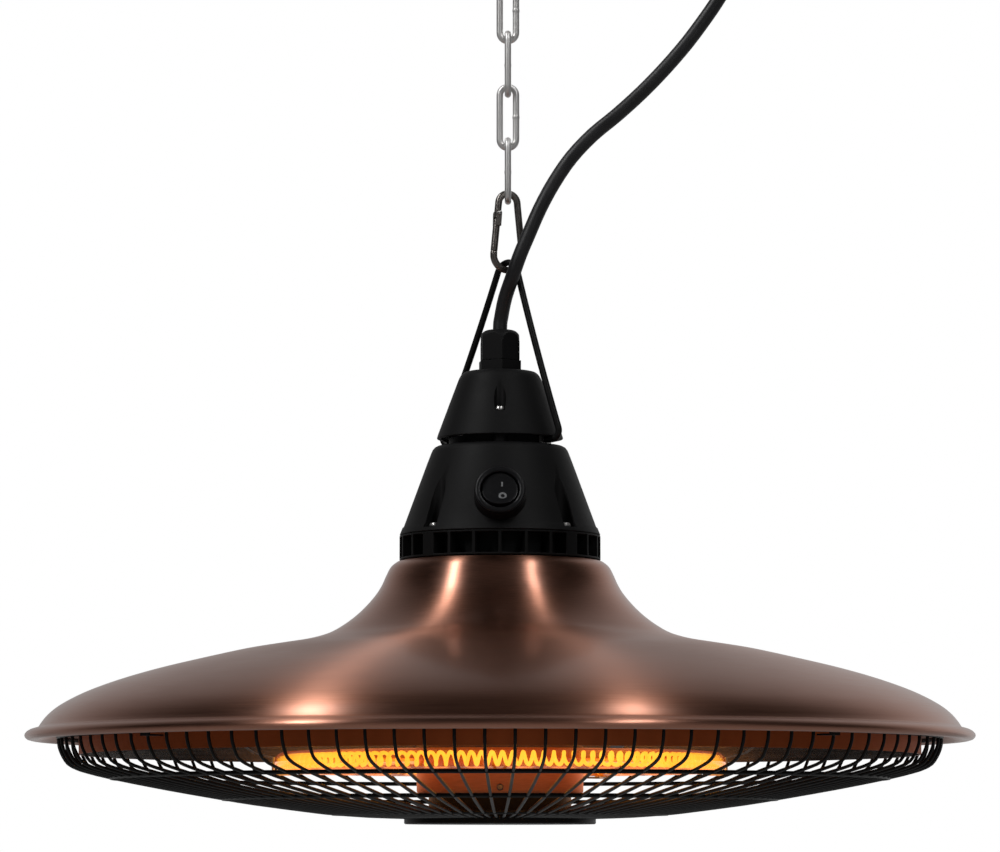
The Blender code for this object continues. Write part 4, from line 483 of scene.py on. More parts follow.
def make_object(name, bm, material, at=(0, 0, 0), sharp=34.0):
    bmesh.ops.recalc_face_normals(bm, faces=bm.faces)
    if bm.calc_volume(signed=True) < 0:
        bmesh.ops.reverse_faces(bm, faces=bm.faces)
    bm.transform(Matrix.Scale(MM, 4))
    mesh = bpy.data.meshes.new(name)
    bm.to_mesh(mesh)
    bm.free()
    mesh.materials.append(material)
    mesh.shade_smooth()
    mesh.set_sharp_from_angle(angle=math.radians(sharp))
    made = bpy.data.objects.new(name, mesh)
    bpy.context.collection.objects.link(made)
    made.location = metres(at)
    return made


HEATER_AT = (HEATER_X, 0, 0)


def piece(name, bm, material, body, nodes=(), at=(0, 0, 0), sharp=34.0):
    """A finished piece that rides on a body and may stand for CAD nodes."""
    made = make_object(name, bm, MATERIALS[material], at, sharp)
    dress(made, body, nodes)
    return made


def dress(made, body, nodes=()):
    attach(made, body)
    if nodes:
        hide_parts(*([nodes] if isinstance(nodes, str) else nodes))


def bevel(made, width, segments=2, angle=40.0):
    change = made.modifiers.new("edges", "BEVEL")
    change.width = width * MM
    change.segments = segments
    change.limit_method = "ANGLE"
    change.angle_limit = math.radians(angle)
    even = made.modifiers.new("even_normals", "WEIGHTED_NORMAL")
    even.weight = 80
    even.keep_sharp = True


def boolean(made, bm, operation="DIFFERENCE"):
    """Applies a Boolean with a helper that is removed afterwards."""
    helper = make_object("helper", bm, MATERIALS["plastic"], tuple(v / MM for v in made.location))
    change = made.modifiers.new("cut", "BOOLEAN")
    change.operation = operation
    change.solver = "EXACT"
    change.object = helper
    graph = bpy.context.evaluated_depsgraph_get()
    mesh = bpy.data.meshes.new_from_object(made.evaluated_get(graph), depsgraph=graph)
    made.modifiers.clear()
    old = made.data
    made.data = mesh
    bpy.data.meshes.remove(old)
    bpy.data.objects.remove(helper, do_unlink=True)
    made.data.shade_smooth()
    made.data.set_sharp_from_angle(angle=math.radians(34))


# ---------------------------------------------------------------- chain, hook, bail


def add_suspension():
    socket = 2.1
    plate = [
        (0, -2.0), (socket, -2.0), (socket, -8.0), (4.6, -8.0), (5.6, -7.6), (6.0, -6.6), (6.4, -4.9), (7.6, -4.15),
        (9.5, -4.0), (21.6, -4.0), (23.0, -3.6), (23.8, -2.8), (24.0, -1.8), (24.0, 0), (0, 0),
    ]
    body = piece("ceiling_plate_turned", lathe(plate, 96), "zinc", "ceiling", "ceiling_plate")
    sinks = [lathe([(0, -9), (4.5, -9), (4.5, -4.0), (2.35, -1.8), (2.35, 4), (0, 4)], 32) for _ in range(2)]
    boolean(body, merge(*(moved(sink, x=side * 15.5) for sink, side in zip(sinks, (-1, 1)))))
    for number, side in ((1, -1), (2, 1)):
        at = (side * 15.5, 0, 0)
        screw = wood_screw(-3.7, 15.0, 3.7, 1.9)
        piece(f"ceiling_screw_{number}_fine", screw, "steel", "ceiling", f"ceiling_screw_{number}", at)

    line = [(0, -2.4), (0, -5.0), (0, -7.6), (0.6, -9.8), (1.75, -11.8)] + arc((0, -18.5), 7.0, 52, -218, 40)
    path = [Vector((0, y, z)) for y, z in spline_flat(line[:6], 6)] + [Vector((0, y, z)) for y, z in line[6:]]
    hook = rod(path, 1.8, 18, False, Vector((1, 0, 0)), 0.9)
    piece("ceiling_hook_wire", hook, "zinc", "ceiling", "ceiling_hook")

    top = -21.9
    for number in range(1, 5):
        line = arc((0, -3.7), 3.7, 0, 180, 16) + arc((0, 3.7 - 27.9), 3.7, 180, 360, 16)
        path = [Vector((x, 0, z + top)) for x, z in line]
        link = rod(path, 1.5, 18, True, Vector((0, 1, 0)))
        weld = weld_ring(-13.95 + top, 3.7)
        link = merge(link, weld)
        if number % 2 == 0:
            link = turned(link, 90)
        piece(f"chain_link_{number}_wire", link, "zinc", f"link_{number}", f"chain_link_{number}", sharp=60)
        top -= 24.6

    add_snap_hook()
    add_bail()


def weld_ring(height, x):
    """The low bead where a link was closed."""
    rows = []
    for k, swell in enumerate((1.50, 1.58, 1.66, 1.66, 1.58, 1.50)):
        z = height + (k - 2.5) * 0.42
        turns = [math.tau * j / 18 for j in range(18)]
        rows.append([Vector((x + swell * math.cos(a), swell * math.sin(a), z)) for a in turns])
    return loft(rows)


def spline_flat(points, pieces):
    return [(p.x, p.y) for p in spline([Vector((a, b, 0)) for a, b in points], pieces)]


def wood_screw(head, tip, head_radius, radius):
    """A countersunk screw: head below, thread rings up to the tip."""
    profile = [(0, head), (head_radius - 0.25, head), (head_radius, head + 0.25), (radius, head + 2.0), (radius, head + 4.0)]
    z = head + 4.0
    while z < tip - 3.2:
        profile += [(radius, z + 0.25), (radius * 0.74, z + 0.6), (radius * 0.74, z + 0.9), (radius, z + 1.25)]
        z += 1.25
    profile += [(radius * 0.6, tip - 1.6), (0, tip)]
    bm = lathe(profile, 24)
    return bm


def clip_side(share):
    return -(4.5 + 2.4 * share), -4.5 - 23.6 * share


def add_snap_hook():
    top_z = -120.1
    line = [clip_side(0.26), clip_side(0.12), clip_side(0.03)]
    line += arc((0, -4.5), 4.5, 172, 4, 18)
    line += [(4.5 + 2.4 * t, -4.5 - 23.6 * t) for t in (0.08, 0.5, 0.92)]
    line += arc((0, -28.1), 6.9, -4, -172, 24)
    line += [clip_side(0.975), clip_side(0.945)]
    path = [Vector((x, 0, z)) for x, z in line]
    wire = rod(path, 1.6, 20, False, Vector((0, 1, 0)), 0.6)
    body = turned(wire, 20)
    piece("snap_hook_wire", body, "dark_steel", "snap_hook", "carabiner", (0, 0, top_z), 50)

    px, pz = clip_side(0.20)
    x0, z0 = clip_side(0.33)
    x1, z1 = clip_side(0.92)
    steps = [Vector((x0 + (x1 - x0) * t, 0, z0 + (z1 - z0) * t)) for t in (0.0, 0.25, 0.5, 0.75, 1.0)]
    gate = rod(steps, 1.6, 20, False, Vector((0, 1, 0)), 0.5)
    cheeks = []
    for side in (-1, 1):
        cheek = []
        for y in sorted((side * 2.05, side * 2.6)):
            ring = [Vector((px + 1.35 * math.cos(a), y, pz + 1.35 * math.sin(a))) for a in
                    [math.radians(d) for d in range(0, 181, 20)]]
            ring += [Vector((x0 - 1.2, y, z0 - 2.6)), Vector((x0 + 1.2, y, z0 - 2.9))]
            cheek.append(ring)
        cheeks.append(loft(cheek))
    bridge = box((x0 - 1.15, -2.5, z0 - 2.9), (x0 + 1.15, 2.5, z0 - 0.5))
    made = piece("snap_gate_fine", turned(merge(gate, *cheeks, bridge), 20), "dark_steel", "gate", "carabiner_gate",
                 (0, 0, top_z), 40)
    bevel(made, 0.18)
    pin = rod([Vector((px, y, pz)) for y in (-3.15, -2.6, 2.6, 3.15)], [0.95, 0.62, 0.62, 0.95], 18, False, Vector((1, 0, 0)), 0.3)
    piece("snap_gate_pin", turned(pin, 20), "steel", "snap_hook", "gate_pin", (0, 0, top_z))


def bail_line():
    """Half of the bail as (half width, height over the feet), with fine arcs."""
    apex, knee_half, height, bend = 6.2, 32.9, 81.8, 3.8
    centre = height - apex
    reach = math.hypot(knee_half, centre)
    lean = math.atan2(knee_half, centre) + math.acos(apex / reach)
    touch = Vector((apex * math.sin(lean), centre - apex * math.cos(lean)))
    knee = Vector((knee_half, 0))
    leg = (touch - knee).normalized()
    half_turn = math.acos(leg.dot(Vector((1, 0)))) / 2
    back = bend / math.tan(math.pi / 2 - half_turn)
    start, end = knee - Vector((back, 0)), knee + leg * back
    turn = math.degrees(2 * half_turn)
    curve = arc((start.x, bend), bend, -90, turn - 90, 12)
    legs = [tuple(end + (touch - end) * k / 14) for k in range(1, 14)]
    crown = arc((0, centre), apex, math.degrees(lean) - 90, 90, 12)
    return [(19.5, 0), (22.5, 0), *curve, *legs, *crown]


def bail_point(half, height):
    share = height / 81.8
    yaw = math.radians(-33.0 - 9.0 * share)
    return Vector((HEATER_X + 3.6 * share + half * math.cos(yaw), half * math.sin(yaw), height + PIVOT_Z))


def add_bail():
    half = bail_line()
    line = half + [(-w, z) for w, z in half[-2::-1]]
    wire = rod([bail_point(w, z) for w, z in line], 1.5, 18, round_ends=0.5)
    piece("bail_wire", wire, "black_wire", "bail", "bail", sharp=60)


# ---------------------------------------------------------------- housing


def add_cap_and_gland():
    inner_rim = 26.8
    foot = CAP_RIM - 0.65
    outer = [(8.3, CAP_TOP), (13.6, CAP_TOP)]
    outer += spline_flat([(14.6, CAP_TOP - 0.05), (16.2, CAP_TOP - 0.5), (17.5, CAP_TOP - 1.6), (18.35, CAP_TOP - 2.9),
                          (19.0, CAP_TOP - 4.4)], 4)
    outer += [(23.2, CAP_TOP - 15.6), (28.05, CAP_RIM + 1.2), (28.5, foot + 0.35), (28.35, foot)]
    inside = [(inner_rim, foot), (24.6, CAP_RIM + 4.8), (22.7, CAP_RIM + 6.8), (12.5, CAP_RIM + 6.8), (12.5, CAP_TOP - 3.2),
              (8.3, CAP_TOP - 3.2)]
    cap = piece("top_cap_moulded", lathe(outer + inside, 128), "plastic", "heater", "top_cap", HEATER_AT)
    slots = [cylinder(2.7, CAP_RIM + 10.2, CAP_TOP + 4, 40, (0, side * 22.8)) for side in (-1, 1)]
    boolean(cap, merge(*slots))
    holes = [cylinder(1.8, -242, -220, 24, (0, side * 22.8)) for side in (-1, 1)]
    boolean(cap, merge(*holes))
    bevel(cap, 0.22, 2, 32)

    hexagon = cylinder(18.0 / math.sqrt(3), GLAND_FOOT, GLAND_SHELF, 6, (0, 0), math.radians(36))
    body = piece("gland_body_moulded", hexagon, "plastic", "heater", "gland_body", HEATER_AT)
    thread = [(4.6, GLAND_SHELF - 0.5), (8.0, GLAND_SHELF - 0.5)]
    z = GLAND_FOOT - 0.4
    while z > GLAND_FOOT - 7.6:
        thread += [(8.0, z), (7.5, z - 0.35), (7.5, z - 0.6), (8.0, z - 0.95)]
        z -= 1.1
    thread += [(7.7, GLAND_FOOT - 8.3), (4.6, GLAND_FOOT - 8.3)]
    spigot = lathe([(4.6, GLAND_SHELF - 1), (6.6, GLAND_SHELF - 1), (6.6, -189.9), (4.6, -189.9)], 64)
    boolean(body, lathe(thread, 64), "UNION")
    boolean(body, spigot, "UNION")
    boolean(body, cylinder(4.6, -212, -185, 64))
    bevel(body, 0.35, 2, 32)
    seal = [(3.55, GLAND_SHELF), (4.0, GLAND_SHELF), (4.0, -189.5), (6.5, -189.5), (6.5, -187.5), (5.6, -187.1), (3.55, -187.1)]
    piece("gland_seal_ring", lathe(seal, 64), "rubber", "heater", "gland_seal", HEATER_AT)

    crown = 16.8 / math.sqrt(3)
    nut = piece("gland_nut_moulded", cylinder(crown, NUT_FOOT, NUT_TOP + 4, 6, (0, 0), math.radians(36)), "plastic", "heater",
                "gland_nut", HEATER_AT)
    dome = [(0, NUT_FOOT - 4), (crown + 2, NUT_FOOT - 4), (crown + 2, NUT_TOP - 9.0), (crown + 0.1, NUT_TOP - 6.0)]
    dome += [(5.3 + 4.0 * x, NUT_TOP - 4.6 + 4.6 * z) for x, z in arc((0, 0), 1.0, 0, 90, 12)] + [(0, NUT_TOP)]
    boolean(nut, lathe(dome, 96), "INTERSECT")
    bore = [(0, NUT_FOOT - 4), (7.0, NUT_FOOT - 4), (7.0, -186.8), (3.85, -186.8), (3.85, NUT_TOP - 0.8), (4.6, NUT_TOP + 0.05),
            (4.6, NUT_TOP + 4), (0, NUT_TOP + 4)]
    boolean(nut, lathe(bore, 64))
    bevel(nut, 0.3, 2, 32)


def housing_radius(height):
    return 30.0 + 14.8 * (HOUSING_TOP - height) / 40.3


def switch_matrix():
    height = HOUSING_TOP - 25.5
    at = Matrix.Translation((0, -housing_radius(height), height))
    return at @ Matrix.Rotation(math.radians(70), 4, "X")


def add_housing():
    lip = HOUSING_FOOT + 3.2
    ceiling = HOUSING_TOP - 6.4
    outer = [(4.2, PIVOT_Z + 6.7), (10.0, PIVOT_Z + 6.7), (10.0, HOUSING_TOP)]
    outer += [(27.2, HOUSING_TOP), (28.5, HOUSING_TOP - 0.15), (29.6, HOUSING_TOP - 0.75), (30.4, HOUSING_TOP - 1.7),
              (30.98, HOUSING_TOP - 2.9)]
    outer += [(housing_radius(z), z) for z in (HOUSING_TOP - 8, HOUSING_TOP - 20, HOUSING_TOP - 30, lip + 0.55)]
    outer += [(housing_radius(lip) + 0.45, lip), (45.2, HOUSING_FOOT + 0.35), (45.0, HOUSING_FOOT)]
    inside = [(34.2, HOUSING_FOOT), (33.7, HOUSING_FOOT + 14), (22.0, ceiling), (4.2, ceiling)]
    body = piece("lower_housing_moulded", lathe(outer + inside, 160), "plastic", "heater", "lower_housing",
                 HEATER_AT)
    boss = lathe([(0, -6), (11.5, -6), (11.5, 5.6), (11.2, 6.2), (0, 6.2)], 96)
    boss.transform(switch_matrix())
    boolean(body, boss, "UNION")
    collar = [(22.2, HOUSING_TOP - 0.5), (23.1, HOUSING_TOP - 0.5), (23.1, -231.8), (22.2, -231.8)]
    boolean(body, lathe(collar, 96), "UNION")
    boolean(body, merge(*(cylinder(3.4, HOUSING_TOP - 0.5, -231.8, 32, (0, side * 22.8)) for side in (-1, 1))), "UNION")
    gates = [turned(box((side * 21.5 - 2.5, -2.3, HOUSING_TOP + 0.05), (side * 21.5 + 2.5, 2.3, -230)), -33) for side in (-1, 1)]
    boolean(body, merge(*gates))
    bore = cylinder(9.8, -16, 12, 96)
    bore.transform(switch_matrix())
    boolean(body, bore)
    places = [around(40.6, 45 + 90 * k) for k in range(4)]
    boolean(body, merge(*(recess_slot(45 + 90 * k) for k in range(4))))
    holes = [cylinder(1.85, -282, -271, 24, p[:2]) for p in places]
    holes += [cylinder(1.85, -243, -225, 24, (0, side * 22.8)) for side in (-1, 1)]
    boolean(body, merge(*holes))
    pockets = [turned(box((side * 24.1 - 0.95, -4.35, -238.2), (side * 24.1 + 0.95, 4.35, -229)), -33) for side in (-1, 1)]
    boolean(body, merge(*pockets))
    bevel(body, 0.28, 2, 32)


def recess_slot(azimuth):
    """An upright slot for a housing screw, round towards the axis and open outwards."""
    outline = arc((39.3, 0), 3.7, 90, 270, 24) + [(49.0, -3.7), (49.0, 3.7)]
    return turned(loft([[Vector((x, y, z)) for x, y in outline] for z in (HOUSING_FOOT + 1.9, HOUSING_FOOT + 29.9)]), azimuth)


def pan_screw(face, tip, head):
    """A pan-head screw with a cross recess, its head over the face and its thread down to the tip."""
    rise = 1.8
    profile = [(0, face + rise), (head * 0.45, face + rise - 0.05), (head * 0.8, face + rise * 0.8), (head, face + rise * 0.35),
               (head, face), (1.5, face)]
    z = face - 0.8
    while z > tip + 2.2:
        profile += [(1.5, z), (1.18, z - 0.25), (1.18, z - 0.45), (1.5, z - 0.7)]
        z -= 0.8
    profile += [(1.0, tip + 0.5), (0, tip)]
    return lathe(profile, 28)


def cross_recess(face, reach):
    bars = []
    for turn in (25, 115):
        bars.append(turned(box((-reach, -0.32, face + 0.75), (reach, 0.32, face + 4)), turn))
    return bars


def add_screws():
    jobs = []
    for number, side in ((1, -1), (2, 1)):
        jobs.append((f"cap_screw_{number}", -220.85, -241.4, 2.3, (HEATER_X, side * 22.8, 0)))
    for number in range(1, 5):
        place = around(40.6, 45 + 90 * (number - 1))
        jobs.append((f"housing_screw_{number}", -273.55, -291.25, 2.8, (HEATER_X + place.x, place.y, 0)))
    jobs.append(("guard_screw", -391.05, -403.1, 4.0, HEATER_AT))
    for name, face, tip, head, at in jobs:
        made = piece(f"{name}_fine", pan_screw(face, tip, head), "steel", "heater", name, at)
        for bar in cross_recess(face, head * 0.62):
            boolean(made, bar)


def add_switch():
    face = 7.8
    floor = face - 7.2
    profile = [(0, -12.0), (9.5, -12.0), (9.5, 6.5), (11.1, 6.5), (11.1, 7.25), (10.75, 7.65), (10.2, 7.8), (9.2, 7.8),
               (8.75, 7.5), (8.6, 7.0), (8.6, floor), (0, floor)]
    bm = lathe(profile, 96)
    bm.transform(switch_matrix())
    piece("switch_bezel", bm, "gloss_black", "heater", "switch_body", HEATER_AT)

    pivot = face - 3.6
    tilt = Matrix.Rotation(math.radians(-7.0), 4, "X")
    lift = Matrix.Translation((0, 0, pivot))
    rings = []
    steps = ((-1.2, 7.6, 0.0), (-1.0, 8.0, 0.0), (1.9, 8.0, 1.0), (2.15, 7.9, 1.0), (2.25, 7.6, 1.0), (2.2, 6.4, 1.0),
             (2.15, 4.5, 1.0), (2.1, 2.5, 1.0), (2.08, 0.8, 1.0))
    for height, radius, crowned in steps:
        ring = []
        for k in range(72):
            a = math.tau * k / 72
            x, y = radius * math.cos(a), radius * math.sin(a)
            ring.append(Vector((x, y, height + crowned * 1.2 * (y / 8.0) ** 2 - crowned * 0.05)))
        rings.append(ring)
    rocker = loft(rings)
    rocker.transform(switch_matrix() @ lift @ tilt)
    piece("rocker_moulded", rocker, "gloss_black", "rocker", "switch_rocker", HEATER_AT, 50)

    def top(y):
        return 2.05 + 1.2 * (y / 8.0) ** 2

    y = 3.2
    bar = box((0.55, y - 1.7, top(y) - 0.5), (1.3, y + 1.7, top(y) + 0.14))
    ring_line = [Vector((1.2 + 1.35 * math.cos(a), -3.3 + 1.45 * math.sin(a), top(-3.3 + 1.45 * math.sin(a)) + 0.02))
                 for a in [math.tau * k / 48 for k in range(48)]]
    rows = []
    for k, point in enumerate(ring_line):
        out = Vector((math.cos(math.tau * k / 48), math.sin(math.tau * k / 48), 0))
        up = Vector((0, 0, 1))
        rows.append([point + out * 0.46 - up * 0.3, point + out * 0.46 + up * 0.07, point - out * 0.46 + up * 0.07,
                     point - out * 0.46 - up * 0.3])
    for name, mark in (("switch_mark_on", bar), ("switch_mark_off", loft(rows, True))):
        mark.transform(switch_matrix() @ lift @ tilt)
        piece(name, mark, "mark", "rocker", (), HEATER_AT)


def add_vent_ring():
    """Two bands with ribs between them; every band is curved, not faceted."""
    edges, solid = [], []
    for k in range(24):
        middle = -90 + 15 * k
        wide = (middle - 45) % 90 == 0
        half = math.degrees((6.8 if wide else 1.5) / 2 / 45.3)
        start = middle - half
        stop = middle + half
        beyond = -90 + 15 * (k + 1)
        next_half = math.degrees((6.8 if (beyond - 45) % 90 == 0 else 1.5) / 2 / 45.3)
        pieces = 3 if wide else 1
        for j in range(pieces):
            edges.append(start + (stop - start) * j / pieces)
            solid.append(True)
        for j in range(5):
            edges.append(stop + (beyond - next_half - stop) * j / 5)
            solid.append(False)
    heights = [VENT_FOOT, VENT_FOOT + 0.9, VENT_TOP - 0.8, VENT_TOP]
    radii = (37.5, 45.3)
    bm = bmesh.new()
    count = len(edges)
    points = {}

    def vert(s, side, level):
        key = (s % count, side, level)
        if key not in points:
            points[key] = bm.verts.new(around(radii[side], edges[key[0]], heights[level]))
        return points[key]

    def filled(s, h):
        return h != 1 or solid[s % count]

    for s in range(count):
        for h in range(3):
            if not filled(s, h):
                continue
            for side in (0, 1):
                bm.faces.new((vert(s, side, h), vert(s + 1, side, h), vert(s + 1, side, h + 1), vert(s, side, h + 1)))
            for level, beyond in ((h, h - 1), (h + 1, h + 1)):
                if not (0 <= beyond < 3 and filled(s, beyond)):
                    bm.faces.new((vert(s, 0, level), vert(s + 1, 0, level), vert(s + 1, 1, level), vert(s, 1, level)))
            for wall, beyond in ((s, s - 1), (s + 1, s + 1)):
                if not filled(beyond, h):
                    bm.faces.new((vert(wall, 0, h), vert(wall, 1, h), vert(wall, 1, h + 1), vert(wall, 0, h + 1)))
    ring = piece("vent_ring_moulded", bm, "plastic", "heater", "vent_ring", HEATER_AT)
    bevel(ring, 0.2, 2, 50)
    # Painted shade: a thin dark sleeve just inside the vent ring stands in for the shade inside the housing seen
    # through the slots, and hides the parts behind it.
    sleeve = [(37.05, VENT_FOOT + 0.1), (37.35, VENT_FOOT + 0.1), (37.35, VENT_TOP - 0.1), (37.05, VENT_TOP - 0.1)]
    piece("vent_sleeve_dark", lathe(sleeve, 96), "plastic", "heater", (), HEATER_AT)


# ---------------------------------------------------------------- shade, reflector, heater


SHADE_OUTER = [
    (45.5, -287.25), (47.8, -288.8), (49.6, -290.7), (51.4, -294.3), (53.0, -297.9), (55.1, -301.5), (57.9, -305.1),
    (61.2, -308.7), (65.1, -312.3), (69.9, -315.9), (75.4, -319.2), (80.9, -321.3), (89.0, -323.3), (100.1, -325.1),
    (111.3, -326.9), (120.1, -328.6), (135.9, -332.2), (151.0, -335.8), (164.1, -339.4), (175.3, -343.0), (184.8, -346.6),
    (192.4, -350.2), (198.4, -353.8), (202.6, -357.4), (205.2, -360.6),
]


def add_shade():
    outer = spline_flat(SHADE_OUTER, 3)
    inside = offset_line(outer, 1.1)[::-1]
    lip = [(206.2, -362.2), (206.9, -362.8), (208.3, -363.1), (210.0, -363.6), (211.4, -364.4), (212.3, -365.4),
           (212.5, -366.2), (212.2, -367.1), (211.3, -367.9), (209.9, -368.3), (208.2, -368.3), (206.9, -367.7),
           (206.1, -366.6), (205.5, -365.2), (204.9, -363.4)]
    profile = [(30.0, SHADE_TOP), (44.2, SHADE_TOP)] + outer[1:] + lip + inside[:-1] + [(44.0, SHADE_TOP - 1.15), (30.0, SHADE_TOP - 1.15)]
    piece("shade_spun", lathe(profile, 320), "copper", "heater", "shade", HEATER_AT, 50)


def add_reflector():
    ceiling = [(38.6, -341.25), (56.1, -341.3), (90.0, -342.2), (125.0, -343.6), (153.8, -345.4), (172.0, -348.6),
               (182.0, -352.0), (186.8, -354.6), (188.3, -357.6), (188.4, -362.0), (188.4, -374.6)]
    outer = spline_flat(ceiling, 4)
    inside = offset_line(outer, 0.8)[::-1]
    piece("reflector_spun", lathe(outer + inside, 240), "reflector", "heater", "reflector", HEATER_AT, 50)
    outer = [(36.4, -288.8), (43.3, -288.8), (43.3, -289.75), (37.4, -289.75), (37.4, -342.4), (40.9, -342.4), (40.9, -343.35),
             (37.4, -343.35), (37.4, -390.6), (36.9, -391.8), (35.8, -392.3), (1.9, -392.3), (1.9, -391.4), (36.4, -391.4)]
    body = piece("centre_cylinder_turned", lathe(outer, 160), "cylinder", "heater", "centre_cylinder", HEATER_AT)
    boolean(body, box((-7, 33, -341.0), (7, 42, -327.0)))
    screw = [(0, 34.2), (1.0, 35.4), (1.0, 37.7), (1.5, 37.7), (1.5, 38.2), (1.1, 38.6), (0, 38.7)]
    head = lathe(screw, 28)
    head = turned(head, 90, "X")
    made = piece("cylinder_screw_fine", head, "dark_steel", "heater", "cylinder_screw", (HEATER_X, 0, -389.35))
    for turn in (20, 110):
        boolean(made, turned(box((-1.0, -42, -0.18), (1.0, -38.3, 0.18)), turn, "Y"))


def ring_path(pieces, gap=12.0, radius=TUBE_R, height=TUBE_Z):
    return [around(radius, 90 + gap + (360 - 2 * gap) * k / pieces, height) for k in range(pieces + 1)]


def add_heater():
    up = Vector((0, 0, 1))
    path = ring_path(160)
    tube = loft(rows_along(path, 4.6, 24, False, up) + rows_along(path, 3.7, 24, False, up)[::-1], True)
    piece("quartz_ring", tube, "glass", "heater", "quartz_tube", HEATER_AT, 50)

    turns, points = 128, 14
    line = []
    for k in range(turns * points + 1):
        share = k / (turns * points)
        azimuth = 102 + 336 * share
        a = math.tau * turns * share
        line.append(around(TUBE_R + 2.7 * math.cos(a), azimuth, TUBE_Z + 2.7 * math.sin(a)))
    piece("heating_coil_wound", rod(line, 0.85, 8), "coil", "heater", "heating_coil", HEATER_AT, 80)

    for number, side in ((1, -1), (2, 1)):
        azimuth = 90 - side * 12.0
        end = around(TUBE_R, azimuth, TUBE_Z)
        out = around(1, azimuth + side * 90)
        profile = [(0, 0.9), (5.3, 0.9), (5.3, -3.0), (6.1, -3.0), (6.4, -2.7), (6.4, 9.2), (5.8, 10.0), (0, 10.0)]
        cap = lathe(profile, 48)
        cap.transform(out.to_track_quat("Z", "Y").to_matrix().to_4x4())
        piece(f"tube_cap_{number}_fired", moved(cap, *end), "ceramic", "heater", f"tube_cap_{number}", HEATER_AT)


GUARD_LINE = [(197.4, -366.95), (197.2, -370.0), (196.6, -372.5), (195.2, -375.6), (193.0, -378.7), (189.5, -380.6),
              (184.9, -382.1), (174.1, -384.75), (151.6, -389.2), (131.8, -392.7), (124.1, -394.0), (109.8, -396.3),
              (82.3, -399.9), (75.0, -400.6), (60.0, -401.7), (42.0, -402.3)]


def add_guard():
    path = [Vector((r, 0, z)) for r, z in spline_flat(GUARD_LINE, 2)]
    bm = bmesh.new()
    across = Vector((0, 1, 0))
    for wire in range(100):
        azimuth = math.radians(-90 + 3.6 * (wire + 0.5))
        rows = rows_along(path, 0.74, 8, False, across)
        spin = Matrix.Rotation(azimuth, 3, "Z")
        add_loft(bm, [[spin @ p for p in row] for row in rows])
    for radius, height in ((197.4, -366.95), (174.1, -384.75), (124.1, -394.0), (75.0, -400.6)):
        circle = [around(radius, 2 * k, height) for k in range(180)]
        add_loft(bm, rows_along(circle, 0.98, 10, True, Vector((0, 0, 1))), True)
    piece("guard_wires", bm, "black_wire", "heater", "guard", HEATER_AT, 60)
    plate = [(2.4, -401.3), (42.4, -401.3), (43.0, -401.7), (43.0, -404.9), (42.5, -405.35), (2.4, -405.35)]
    piece("guard_plate", lathe(plate, 128), "black_wire", "heater", (), HEATER_AT)
    hub = [(1.85, -401.0), (31.4, -401.0), (32.0, -400.6), (32.0, -393.2), (31.5, -392.65), (1.85, -392.65)]
    piece("guard_hub_turned", lathe(hub, 128), "black_wire", "heater", "guard_post", HEATER_AT)


# ---------------------------------------------------------------- cord


CORD_ROUTE = [
    (0.0, 0.0, -205.85), (0.0, 0.0, -182.55),
    (0.6, -0.5, -176.55), (2.4, -4.0, -168.05), (5.8, -8.8, -158.55), (9.0, -10.6, -149.55), (12.8, -11.0, -140.55),
    (18.0, -10.8, -128.55), (24.3, -10.4, -116.75), (32.2, -10.0, -105.05), (42.0, -9.6, -94.55), (53.0, -9.2, -85.35),
    (64.4, -8.8, -74.85), (75.2, -8.4, -63.55), (85.2, -8.0, -51.75), (94.0, -7.7, -39.75), (98.8, -7.6, -32.55),
    (102.2, -7.5, -26.55), (104.6, -7.5, -19.0), (104.6, -7.5, -10.0),
]


def add_cord():
    points = [metres((x + HEATER_X, y, z)) for x, y, z in CORD_ROUTE]
    fine = spline(points, 3)
    curve = bpy.data.curves.new("rubber_cord", "CURVE")
    curve.dimensions = "3D"
    curve.bevel_depth = 3.25 * MM
    curve.bevel_resolution = 6
    curve.use_fill_caps = True
    line = curve.splines.new("POLY")
    line.points.add(len(fine) - 1)
    for target, point in zip(line.points, fine):
        target.co = (*point, 1.0)
    line.use_smooth = True
    curve.materials.append(MATERIALS["rubber"])
    cord = bpy.data.objects.new("rubber_cord", curve)
    bpy.context.collection.objects.link(cord)
    dress(cord, "heater", "power_cord")

    rose = [(3.55, -12.0), (7.5, -12.0), (11.5, -11.4), (15.75, -9.8), (19.0, -7.0), (20.6, -4.2), (21.0, -1.5), (21.0, 0),
            (19.0, 0), (19.0, -4.0), (14.5, -8.4), (7.5, -10.0), (3.55, -10.0)]
    at = (101.0, -7.5, 0)
    dome = piece("cord_rose_dome", lathe(rose, 96), "plastic", "heater", "cord_rose", at)
    grip = [(3.55, -19.3), (4.9, -19.3), (5.2, -19.0)]
    for k in range(4):
        z = -18.6 + 1.5 * k
        r = 5.3 + 0.45 * k
        grip += [(r, z), (r + 0.25, z + 0.4), (r + 0.25, z + 0.8), (r, z + 1.1)]
    grip += [(7.4, -12.5), (7.4, -12.3), (3.55, -12.3)]
    sleeve = piece("cord_grip_sleeve", lathe(grip, 64), "rubber", "heater", "cord_grip", at)


# ---------------------------------------------------------------- pieces that keep their CAD shape


